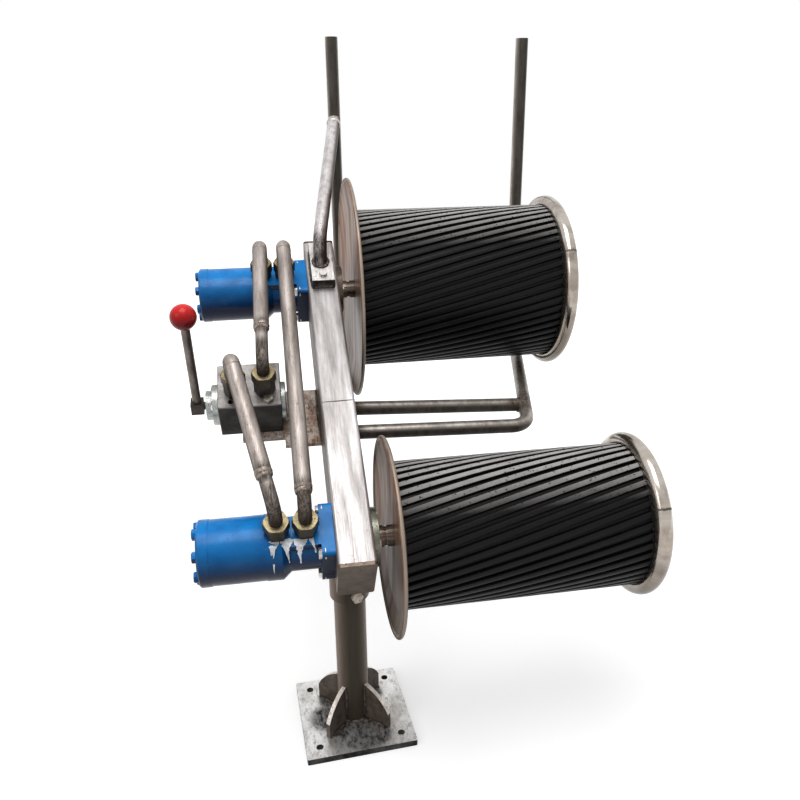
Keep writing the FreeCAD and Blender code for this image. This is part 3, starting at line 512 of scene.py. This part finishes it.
# painted shade: the blue turns dark navy towards the ground
blue_paint = painted("gloss_blue_paint", "#0c86d6", "#076eb8", "#0b2440", "#031a42")
zinc_bolt = bare_steel("bright_zinc_bolt", "#e4e3df", "#b5b2ab", "#8f887e", (120, 120, 120),
                       metallic=0.9, rough=(0.22, 0.38))
for motor, station in (("front", front_station), ("rear", rear_station)):
    dress(blue_paint, motor + "_motor_housing", motor + "_motor_barrel", motor + "_motor_end_cover")
    cover_spots = circle_of_spots(-239.0, station, 0.0, 41.0, (20 + 360 / 7 * n for n in range(7)))
    bolt_set(motor + "_motor_cover_bolts", hexagon_head(0.016, 0.0105, 0.002), cover_spots, (-1, 0, 0),
             blue_paint, "head")
    flange_spots = [on_arm(-51.0, station + s, q) for s in (-36.5, 36.5) for q in (-36.5, 36.5)]
    bolt_set(motor + "_motor_flange_bolts", hexagon_head(0.016, 0.009, 0.0016), flange_spots, (-1, 0, 0),
             zinc_bolt, "head")


# Bearings: turned plates, each held to the arm by four small bolts. The front one keeps its greenish
# zinc plating over bright steel, with painted shade on its lower faces, and the rear one is painted dark
# brown as shade.
green_zinc = bare_steel("greenish_zinc", "#8f9184", "#696b5e", "#514e41", (40, 40, 40), metallic=0.75,
                        rough=(0.25, 0.42), painted_dark_side=((0, 0, 1), 0.2, -0.6, "#37322a"))
pale_zinc = bare_steel("pale_zinc", "#bdc0bd", "#8b8f8b", "#6a6b63", (46, 46, 46), metallic=0.8,
                       rough=(0.25, 0.42))
shaded_bearing_steel = bare_steel("painted_shade_bearing", "#6b6055", "#453b32", "#2e261f", (50, 50, 50), metallic=0.7,
                         rough=(0.25, 0.42), fleck_cover=0.5)
for bearing, station, finish in (("front", front_station, green_zinc), ("rear", rear_station, shaded_bearing_steel)):
    dress(finish, bearing + "_bearing")
    spots = circle_of_spots(40.0, station, 0.0, 35.0, (45, 135, 225, 315))
    bolt_set(bearing + "_bearing_bolts", hexagon_head(0.013, 0.0055, 0.0015), spots, (1, 0, 0),
             zinc_bolt, "head")


# Pipe unions: dark adapters screwed into the ports and yellow-plated union nuts over them.
# Shreds of white thread tape hang from the front motor's two ports.
adapter_steel = bare_steel("blackened_adapter", "#45403b", "#2b2723", "#1f1b18", (70, 70, 70), metallic=0.7,
                           rough=(0.3, 0.5))
# painted shade: the nuts' sides are darkened below their top faces
yellow_zinc = bare_steel("yellow_zinc", "#948866", "#6b6049", "#4a4133", (55, 55, 55), metallic=0.85,
                         rough=(0.25, 0.45), stain_cover=0.6, painted_dark_side=((0, 0, 1), 0.6, 0.05, "#463e2e"))
dress(adapter_steel, "port_adapters")
dress(yellow_zinc, "pipe_nuts")

thread_tape = bpy.data.materials.new("ptfe_tape")
thread_tape.use_nodes = True
tape_place = add_node(thread_tape.node_tree, "ShaderNodeTexCoord")
tape_cloud = add_node(thread_tape.node_tree, "ShaderNodeTexNoise", {},
                      {"Vector": (tape_place, "Object"), "Scale": 130.0, "Detail": 3.0})
tape_tone = add_node(thread_tape.node_tree, "ShaderNodeMix", {"data_type": "RGBA"},
                     {0: (tape_cloud, 0), 6: linear("#ffffff"), 7: linear("#dfe6ee")})
tape_shader = thread_tape.node_tree.nodes["Principled BSDF"]
thread_tape.node_tree.links.new(tape_tone.outputs[2], tape_shader.inputs["Base Color"])
tape_shader.inputs["Roughness"].default_value = 0.3
tape_shader.inputs["Specular IOR Level"].default_value = 0.9
# x and station of its root, width, flat length, hanging length, turn and fold of each shred
tape_shreds = [(-127, 56, 7, 12, 40, 4, 48), (-119, 57, 9, 13, 15, -12, 34), (-108, 57, 11, 14, 24, 14, 42),
               (-97, 58, 9, 15, 12, -16, 30), (-86, 57, 13, 14, 26, 4, 42), (-74, 57, 8, 13, 12, -22, 34),
               (-67, 58, 7, 13, 14, 18, 40)]
shreds = []
for number, (x, station, width, flat, hang, turn, fold) in enumerate(tape_shreds):
    bpy.ops.object.select_all(action="DESELECT")
    bpy.ops.mesh.primitive_grid_add(x_subdivisions=4, y_subdivisions=12, size=1.0)
    shred = bpy.context.object
    bpy.ops.object.mode_set(mode="EDIT")
    bpy.ops.mesh.select_all(action="SELECT")
    bpy.ops.transform.translate(value=(0, -0.5, 0))
    bpy.ops.transform.resize(value=(width / 1000, (flat + hang) / 1000, 1), center_override=(0, 0, 0))
    edge = -flat / 1000
    for share in (0.35, 0.5, 0.65, 0.8, 0.9):
        taper_start = -share * (flat + hang) / 1000
        choose(shred, "polygons", lambda face: face.center.y < taper_start)
        bpy.ops.transform.resize(value=(0.66, 1, 1), center_override=(0, 0, 0))
    choose(shred, "polygons", lambda face: face.center.y < edge)
    bpy.ops.transform.rotate(value=math.radians(-fold), orient_axis="X", center_override=(0, edge, 0))
    bpy.ops.mesh.select_all(action="SELECT")
    bpy.ops.transform.vertex_random(offset=0.0013, seed=50 + number)
    bpy.ops.object.mode_set(mode="OBJECT")
    walls = shred.modifiers.new("walls", "SOLIDIFY")
    walls.thickness = 0.0004
    bpy.ops.object.modifier_apply(modifier="walls")
    shred.matrix_world = (Matrix.Translation(on_arm(x, station, 47.5)) @ Matrix.Rotation(arm_slope, 4, "X")
                          @ Matrix.Rotation(math.radians(turn), 4, "Z"))
    shreds.append(shred)
finish_piece(join_pieces(shreds), "thread_tape_shreds", thread_tape, "head", 60.0)


# Pressure pipes: thin pipe at each union, sleeved by thicker pipe along the runs and welded to it.
# Bare steel, browned and scaled where the welder closed the thick pipe down.
pipe_welds = []
# the two corners of each run, and how far its weld lies from the first one
pipe_runs = [((-73, front_station, 115), (-73, rear_station, 128), 30),
             ((-117, front_station, 115), (-174, 343, 146), 60),
             ((-123, 343, 131), (-117, rear_station, 128), 74)]
burnt_bends = []
for number, (corner, elbow, setback) in enumerate(pipe_runs):
    corner, elbow = on_arm(*corner), on_arm(*elbow)
    way = (elbow - corner).normalized()
    place = corner + way * (setback / 1000)
    burnt_bends += [(place, 0.022), (corner + way * 0.018, 0.03), (corner - arm_normal * 0.022, 0.034)]
    pipe_welds.append(weld_ring(place, way, 0.0108, 0.0026, 60 + number, 1.8))
    pipe_welds.append(weld_ring(place + way * 0.005, way, 0.0126, 0.0014, 70 + number, 3.0))
    pipe_welds.append(weld_ring(elbow - way * 0.019, way, 0.0131, 0.0008, 80 + number, 2.0))
# painted shade: the pipes darken towards their undersides and their flanks
pipe_steel = bare_steel("bare_pipe", "#bdb3ad", "#867c76", "#665b52", (80, 11, 80), turn_deg=-33.2,
                        metallic=0.68, rough=(0.36, 0.56), stain_cover=0.55, fleck_cover=0.45,
                        weld_spots=burnt_bends, burn="#40372f", painted_dark_side=((0, 0, 1), 0.3, -0.4, "#5f544c"),
                        painted_flank_shade=(0.74, 0.98, "#5d524b"))
dress(pipe_steel, "pipe_rear_to_front", "pipe_rear_to_valve", "pipe_valve_to_front")
pipe_weld_metal = bare_steel("browned_weld", "#a89c92", "#6b5e54", "#40352d", (150, 150, 150), metallic=0.65,
                             rough=(0.35, 0.55))
finish_piece(join_pieces(pipe_welds), "pipe_end_welds", pipe_weld_metal, "head")


# Control valve: a milled steel block with a zinc cover each side, bolted down to a rusty bracket.
# One of its two mounting holes holds a zinc bolt and the other is empty.
# painted shade: the block's sides and underside are darkened
valve_steel = bare_steel("milled_valve_steel", "#a29e9b", "#7a7673", "#59534e", (34, 60, 34), turn_deg=-33.2,
                         metallic=0.6, rough=(0.3, 0.48), stain_cover=0.5,
                         painted_dark_side=((0, 0, 1), 0.5, -0.1, "#38332f"))
dress(valve_steel, "valve_block")
dress(pale_zinc, "valve_end_cap", "spool_housing")
bolt_set("valve_bolt", hexagon_head(0.017, 0.012, 0.0025), [on_arm(-118, 322, arm_top)], tuple(arm_normal),
         worn_bolt_steel, "head")
bolt_set("valve_bolt_tips", hexagon_head(0.013, 0.006, 0.0015),
         [on_arm(-118, 322, -37), on_arm(-152, 390, -37)], tuple(-arm_normal),
         adapter_steel, "head")
spool_spots = circle_of_spots(-214, valve_station, valve_height, 30.5, (45, 135, 225, 315))
bolt_set("spool_housing_bolts", hexagon_head(0.0085, 0.005, 0.001), spool_spots, (-1, 0, 0),
         zinc_bolt, "head")
bpy.ops.object.select_all(action="DESELECT")
bpy.ops.mesh.primitive_cylinder_add(vertices=6, radius=0.0275, depth=0.011)
spool_hexagon = bpy.context.object
choose(spool_hexagon, "polygons", lambda face: face.normal.z > 0.9)
bpy.ops.mesh.inset(thickness=0.0035, depth=0.0012)
bpy.ops.mesh.inset(thickness=0.004, depth=-0.001)
bpy.ops.object.mode_set(mode="OBJECT")
soften_edges(spool_hexagon, 0.0007)
spool_hexagon.matrix_world = aimed(on_arm(-219.8, valve_station, valve_height), (-1, 0, 0))
finish_piece(spool_hexagon, "spool_gland", pale_zinc, "head")

bracket_rust = bare_steel("rusty_plate", "#d6cdc3", "#85583c", "#3d2619", (60, 44, 60), turn_deg=-33.2,
                          metallic=0.35, rough=(0.45, 0.75), stain_cover=0.85, fleck_cover=0.85)
dress(bracket_rust, "valve_bracket")
bracket_welds = [weld_run(on_arm(-31, 279, height), on_arm(-31, 397, height), 0.0032, seed)
                 for height, seed in ((-26.5, 81), (-37.5, 82))]
finish_piece(join_pieces(bracket_welds), "bracket_welds", weld_metal, "head")


# Control lever: a round rod in a split clamp on the spool's pin, with a gloss red ball on top.
# The rod is dark drawn steel; the ball is moulded phenolic with a soft moulding sheen.
lever_steel = bare_steel("dark_lever_steel", "#857970", "#554c45", "#3d3530", (90, 90, 12), metallic=0.65,
                         rough=(0.28, 0.45))
dress(lever_steel, "lever_rod")
dress(adapter_steel, "lever_clamp")
# painted shade: the ball turns darker red towards the ground
red_phenolic = painted("moulded_red_phenolic", "#dc2a28", "#c91a1c", "#6d0509", "#8f080c", (0.2, 0.3))
dress(red_phenolic, "lever_ball")
lever_lean = math.radians(20.3)
lever_down = Vector((0, math.sin(lever_lean), -math.cos(lever_lean)))
clamp_centre = on_arm(-242, valve_station, valve_height)
bolt_set("lever_clamp_bolt", hexagon_head(0.012, 0.006, 0.0012), [clamp_centre + lever_down * 0.011],
         tuple(lever_down), adapter_steel, "lever")


# Net guides, their legs and the brace: one size of round tube, bent cold and welded together.
# Bright along the top, with painted shade in dark brown-grey below, and burnt brown at each joint.
leg_joint = Vector((0.387, 0.233, 0.520))
brace_joint = Vector((0.058, 0.612, 1.062))
brace_foot = Vector((-0.002, 0.341, 0.807))
burnt_joints = [(leg_joint, 0.04), ((0.03, 0.16, 0.519), 0.03), ((0.03, 0.205, 0.549), 0.03)]
# painted shade: the guides darken on the faces that turn to the front and the ground
guide_steel = bare_steel("guide_tube", "#bdb5ad", "#8b8279", "#675d54", (70, 70, 16), metallic=0.66,
                         rough=(0.26, 0.44), stain_cover=0.5, weld_spots=burnt_joints, burn="#4a3d33",
                         painted_dark_side=((0, -0.9, -0.45), 0.2, 0.75, "#413c37"))
dress(guide_steel, "guide_left", "guide_right", "upper_leg")
# painted shade: the brace darkens on the faces that turn to the right
brace_steel = bare_steel("wiped_brace_tube", "#dedada", "#b0aaa8", "#8d837c", (70, 70, 14), metallic=0.66,
                         rough=(0.3, 0.48), stain_cover=0.45, weld_spots=[(brace_foot, 0.07)],
                         burn="#33291f", painted_dark_side=((0.93, -0.25, -0.25), 0.35, 0.8, "#54453a"))
dress(brace_steel, "guide_brace")
guide_welds = [weld_ring((0.3795, 0.2335, 0.5202), (0.998, 0.07, -0.07), 0.0132, 0.0024, 91, 1.3),
               weld_ring(brace_foot + Vector((0, 0, 0.002)), arm_normal, 0.0148, 0.0028, 92)]
finish_piece(join_pieces(guide_welds), "guide_welds", weld_metal, "head")
bright_weld = bare_steel("bright_weld", "#e9e1d8", "#a3978c", "#6b5f55", (150, 150, 150), metallic=0.6,
                         rough=(0.3, 0.5))
brace_weld = weld_ring(brace_joint, (0.173, 0.779, 0.603), 0.0134, 0.0016, 93, 2.4)
finish_piece(brace_weld, "brace_weld", bright_weld, "head")
# painted shade: the shoe's sides and front face are darkened
shoe_steel = bare_steel("shoe_steel", "#f7f4f1", "#c9c3be", "#857a71", (60, 22, 60), turn_deg=-33.2,
                        metallic=0.62, rough=(0.3, 0.5), fleck_cover=0.6,
                        painted_dark_side=((0, 0, 1), 0.6, 0.1, "#3a312a"))
dress(shoe_steel, "brace_shoe")
shoe_welds = [weld_run(on_arm(x, 585, arm_top), on_arm(x, 688, arm_top), 0.0024, seed)
              for x, seed in ((-22.5, 96), (22.5, 97))]
finish_piece(join_pieces(shoe_welds), "shoe_welds", weld_metal, "head")
bolt_set("shoe_bolt", hexagon_head(0.0145, 0.007, 0.001), [on_arm(0, 598, 75)], tuple(arm_normal), zinc_bolt,
         "head")


# Drums: a steel tube with a web, a dished stainless flange on the arm's side, and a rolled ring at the
# outer end. Flange and ring are polished; the shaft is turned bright with one groove.
def polished(name, pale, warm, dark, axis_place, streaks, shine_span, radial=True):
    """Polished stainless: bright, with painted reflections as warm and dark streaks, radial or upright, and
    painted shade on the lower half.
    """
    material = bpy.data.materials.new(name)
    material.use_nodes = True
    tree = material.node_tree
    shader = tree.nodes["Principled BSDF"]
    place = add_node(tree, "ShaderNodeTexCoord")
    centred = add_node(tree, "ShaderNodeVectorMath", {"operation": "SUBTRACT"},
                       {0: (place, "Object"), 1: (0.0, axis_place.y, axis_place.z)})
    flat = add_node(tree, "ShaderNodeVectorMath", {"operation": "MULTIPLY"},
                    {0: (centred, 0), 1: (0.0, 1.0, 1.0)})
    spoke = add_node(tree, "ShaderNodeVectorMath", {"operation": "NORMALIZE"}, {0: (flat, 0)})
    upright = add_node(tree, "ShaderNodeMapping", {}, {"Vector": (flat, 0), "Scale": (1.0, 9.0, 1.1)})
    # painted reflection: warm streaks, radial or upright
    sweep = add_node(tree, "ShaderNodeTexNoise", {}, {"Vector": (spoke, 0) if radial else (upright, 0),
                                                      "Scale": streaks, "Detail": 4.0, "Roughness": 0.6})
    warm_reflection_mix = add_node(tree, "ShaderNodeMapRange", {}, {"Value": (sweep, 0), "From Min": 0.4,
                                                         "From Max": 0.58})
    tone = add_node(tree, "ShaderNodeMix", {"data_type": "RGBA"},
                    {0: (warm_reflection_mix, 0), 6: linear(pale), 7: linear(warm)})
    # painted reflection: dark streaks and smears
    dark_reflection_noise = add_node(tree, "ShaderNodeTexNoise", {},
                      {"Vector": (place, "Object") if radial else (upright, 0),
                       "Scale": 19.0 if radial else streaks * 0.6, "Detail": 5.0, "Roughness": 0.65})
    dark_reflection_mix = add_node(tree, "ShaderNodeMapRange", {}, {"Value": (dark_reflection_noise, 0), "From Min": 0.48,
                                                          "From Max": 0.72, "To Max": 0.7})
    tone = add_node(tree, "ShaderNodeMix", {"data_type": "RGBA"},
                    {0: (dark_reflection_mix, 0), 6: (tone, 2), 7: linear(dark)})
    # painted shade: the lower half is darker
    low = add_node(tree, "ShaderNodeSeparateXYZ", {}, {0: (place, "Normal") if radial else (spoke, 0)})
    painted_low_shade = add_node(tree, "ShaderNodeMapRange", {}, {"Value": (low, "Z"), "From Min": 0.45,
                                                        "From Max": -0.75, "To Max": 0.75})
    tone = add_node(tree, "ShaderNodeMix", {"data_type": "RGBA"},
                    {0: (painted_low_shade, 0), 6: (tone, 2), 7: linear(dark)})
    if not radial:
        # painted highlight: the rim is a paler beige
        rim = add_node(tree, "ShaderNodeSeparateXYZ", {}, {0: (place, "Normal")})
        rim_size = add_node(tree, "ShaderNodeMath", {"operation": "ABSOLUTE"}, {0: (rim, "X")})
        rim_highlight_mix = add_node(tree, "ShaderNodeMapRange", {}, {"Value": (rim_size, 0), "From Min": 0.8,
                                                            "From Max": 0.5, "To Max": 0.8})
        tone = add_node(tree, "ShaderNodeMix", {"data_type": "RGBA"},
                        {0: (rim_highlight_mix, 0), 6: (tone, 2), 7: linear("#a1978b")})
    tree.links.new(tone.outputs[2], shader.inputs["Base Color"])
    # polishing lines about 2 mm apart round the axis
    reach = add_node(tree, "ShaderNodeVectorMath", {"operation": "LENGTH"}, {0: (flat, 0)})
    rings = add_node(tree, "ShaderNodeMath", {"operation": "MULTIPLY"}, {0: (reach, "Value"), 1: 520.0})
    lines = add_node(tree, "ShaderNodeTexNoise", {"noise_dimensions": "1D"}, {"W": (rings, 0), "Scale": 1.0,
                                                                            "Detail": 2.0})
    shine = add_node(tree, "ShaderNodeMapRange", {},
                     {"Value": (lines if radial else sweep, 0), "From Min": 0.3, "From Max": 0.7,
                      "To Min": shine_span[0], "To Max": shine_span[1]})
    tree.links.new(shine.outputs[0], shader.inputs["Roughness"])
    relief = add_node(tree, "ShaderNodeBump", {}, {"Height": (lines, 0), "Strength": 0.12,
                                                   "Distance": 0.0003})
    tree.links.new(relief.outputs[0], shader.inputs["Normal"])
    # the faces of the flanges are duller than the rings
    shader.inputs["Metallic"].default_value = 0.92 if radial else 0.45
    shader.inputs["Specular IOR Level"].default_value = 0.5 if radial else 0.15
    return material


def ribbed_rubber(name, axis_place, crest):
    """Moulded black rubber: dull in the grooves, with a painted sheen on the crests towards the top, and
    dust.
    """
    material = bpy.data.materials.new(name)
    material.use_nodes = True
    tree = material.node_tree
    shader = tree.nodes["Principled BSDF"]
    place = add_node(tree, "ShaderNodeTexCoord")
    dust = add_node(tree, "ShaderNodeTexNoise", {}, {"Vector": (place, "Object"), "Scale": 16.0,
                                                     "Detail": 6.0, "Roughness": 0.7})
    dust_mix = add_node(tree, "ShaderNodeMapRange", {}, {"Value": (dust, 0), "From Min": 0.45,
                                                         "From Max": 0.8, "To Max": 0.45})
    tone = add_node(tree, "ShaderNodeMix", {"data_type": "RGBA"},
                    {0: (dust_mix, 0), 6: linear("#050506"), 7: linear("#100f12")})
    # painted sheen: the outermost 1.4 mm turns grey on the crests towards the top, broken up by the dust
    # noise
    centred = add_node(tree, "ShaderNodeVectorMath", {"operation": "SUBTRACT"},
                       {0: (place, "Object"), 1: (0.0, axis_place.y, axis_place.z)})
    flat = add_node(tree, "ShaderNodeVectorMath", {"operation": "MULTIPLY"},
                    {0: (centred, 0), 1: (0.0, 1.0, 1.0)})
    reach = add_node(tree, "ShaderNodeVectorMath", {"operation": "LENGTH"}, {0: (flat, 0)})
    crest_mix = add_node(tree, "ShaderNodeMapRange", {},
                         {"Value": (reach, "Value"), "From Min": crest - 0.0014, "From Max": crest - 0.0003})
    up = add_node(tree, "ShaderNodeVectorMath", {"operation": "NORMALIZE"}, {0: (flat, 0)})
    upward = add_node(tree, "ShaderNodeSeparateXYZ", {}, {0: (up, 0)})
    painted_top_sheen = add_node(tree, "ShaderNodeMapRange", {}, {"Value": (upward, "Z"), "From Min": 0.64,
                                                     "From Max": 0.99, "To Min": 0.01, "To Max": 1.0})
    patchy = add_node(tree, "ShaderNodeMath", {"operation": "MULTIPLY_ADD", "use_clamp": True},
                      {0: (dust, 0), 1: 0.9, 2: 0.35})
    crest_sheen = add_node(tree, "ShaderNodeMath", {"operation": "MULTIPLY"}, {0: (crest_mix, 0), 1: (painted_top_sheen, 0)})
    crest_sheen = add_node(tree, "ShaderNodeMath", {"operation": "MULTIPLY"}, {0: (crest_sheen, 0), 1: (patchy, 0)})
    tone = add_node(tree, "ShaderNodeMix", {"data_type": "RGBA"},
                    {0: (crest_sheen, 0), 6: (tone, 2), 7: linear("#b7b3b1")})
    # nicks and drops 2 to 4 mm across
    nicks = add_node(tree, "ShaderNodeTexNoise", {}, {"Vector": (place, "Object"), "Scale": 210.0,
                                                      "Detail": 2.0, "Roughness": 0.5})
    nick_mix = add_node(tree, "ShaderNodeMapRange", {}, {"Value": (nicks, 0), "From Min": 0.64,
                                                         "From Max": 0.7})
    tone = add_node(tree, "ShaderNodeMix", {"data_type": "RGBA"},
                    {0: (nick_mix, 0), 6: (tone, 2), 7: linear("#060607")})
    tree.links.new(tone.outputs[2], shader.inputs["Base Color"])
    shine = add_node(tree, "ShaderNodeMapRange", {}, {"Value": (dust, 0), "From Min": 0.3,
                                                      "From Max": 0.7, "To Min": 0.3, "To Max": 0.46})
    tree.links.new(shine.outputs[0], shader.inputs["Roughness"])
    relief = add_node(tree, "ShaderNodeBump", {"invert": True}, {"Height": (nick_mix, 0), "Strength": 0.6,
                                                                 "Distance": 0.0009})
    grain = add_node(tree, "ShaderNodeTexNoise", {}, {"Vector": (place, "Object"), "Scale": 700.0,
                                                      "Detail": 2.0})
    fine = add_node(tree, "ShaderNodeBump", {}, {"Height": (grain, 0), "Strength": 0.14,
                                                 "Distance": 0.0004, "Normal": (relief, 0)})
    tree.links.new(fine.outputs[0], shader.inputs["Normal"])
    shader.inputs["Specular IOR Level"].default_value = 0.13
    return material


sleeve_start, sleeve_length, sleeve_depth, rib_depth = 0.069, 0.389, 0.009, 0.0055
ring_reach, ring_tube_radius, ring_x = 0.018, 0.01345, 0.47145
rib_helix = math.radians(14.5)
core_steel = bare_steel("drum_tube_steel", "#8f8a84", "#67625c", "#4c4640", (50, 50, 50), metallic=0.6,
                        rough=(0.35, 0.55))
for drum, station, crest, ribs in (("front", front_station, 0.119, 44), ("rear", rear_station, 0.157, 57)):
    axis_place = on_arm(0, station, 0)
    body = drum + "_drum"
    rubber = ribbed_rubber(drum + "_moulded_rubber", axis_place, crest)
    flange_steel = polished(drum + "_flange_stainless", "#96826f", "#855236", "#3d3128", axis_place, 4.0,
                            (0.34, 0.5), radial=False)
    ring_steel = polished(drum + "_ring_stainless", "#c4bcb3", "#aba095", "#4f453c", axis_place, 3.0,
                          (0.1, 0.24))
    # painted shade: the shafts' tones are darkened
    shaft_steel = polished(drum + "_turned_shaft", "#9d958d", "#655b52", "#3a322b", axis_place, 9.0,
                           (0.12, 0.28))
    dress(flange_steel, drum + "_drum_flange")
    dress(ring_steel, drum + "_drum_end_ring")
    dress(shaft_steel, drum + "_drum_shaft")
    dress(core_steel, drum + "_drum_core")
    dress(rubber, drum + "_drum_sleeve")

    # the sleeve: one turned outline with a point list per rib, screwed along the drum
    points_per_rib = 10
    root_scale = (crest - rib_depth) / crest
    bpy.ops.object.select_all(action="DESELECT")
    bpy.ops.mesh.primitive_circle_add(vertices=ribs * points_per_rib, radius=crest)
    sleeve = bpy.context.object
    for share, group in ((root_scale, (0, 1, 2, 9)), (0.9965, (3, 8)), (0.9995, (4, 7))):
        choose(sleeve, "vertices", lambda vertex: vertex.index % points_per_rib in group)
        bpy.ops.transform.resize(value=(share, share, 1), center_override=(0, 0, 0))
        bpy.ops.object.mode_set(mode="OBJECT")
    winding = sleeve.modifiers.new("winding", "SCREW")
    winding.axis = "Z"
    winding.angle = -sleeve_length * math.tan(rib_helix) / crest
    winding.screw_offset = sleeve_length
    winding.steps = 36
    winding.render_steps = 36
    winding.use_merge_vertices = False
    bpy.ops.object.modifier_apply(modifier="winding")
    inner = (crest - sleeve_depth) / crest
    for end in (0.0, sleeve_length):
        choose(sleeve, "edges", lambda edge: all(abs(sleeve.data.vertices[v].co.z - end) < 1e-5
                                                 for v in edge.vertices))
        bpy.ops.mesh.extrude_edges_move()
        bpy.ops.transform.resize(value=(inner, inner, 1), center_override=(0, 0, end))
        bpy.ops.object.mode_set(mode="OBJECT")
    face_count = {}
    for face in sleeve.data.polygons:
        for key in face.edge_keys:
            face_count[key] = face_count.get(key, 0) + 1
    choose(sleeve, "edges", lambda edge: face_count.get(edge.key, 0) == 1)
    bpy.ops.mesh.bridge_edge_loops()
    bpy.ops.mesh.select_all(action="SELECT")
    bpy.ops.mesh.normals_make_consistent(inside=False)
    bpy.ops.object.mode_set(mode="OBJECT")
    sleeve.matrix_world = (Matrix.Translation((sleeve_start, axis_place.y, axis_place.z))
                           @ Matrix.Rotation(math.radians(90), 4, "Y"))
    finish_piece(sleeve, drum + "_ribbed_sleeve", rubber, body, 30.0)
    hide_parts(drum + "_drum_sleeve")

    # one butt weld closes the rolled ring, ground flush and browned
    ring_middle = crest + ring_reach - ring_tube_radius
    weld_angle = math.radians(150)
    weld_way = Vector((0, math.cos(weld_angle), math.sin(weld_angle)))
    ring_weld = weld_ring(Vector((ring_x, axis_place.y, axis_place.z)) + weld_way * ring_middle,
                          Vector((1, 0, 0)).cross(weld_way), 0.0127, 0.0010, 101, 3.0)
    finish_piece(ring_weld, drum + "_ring_butt_weld", weld_metal, body)
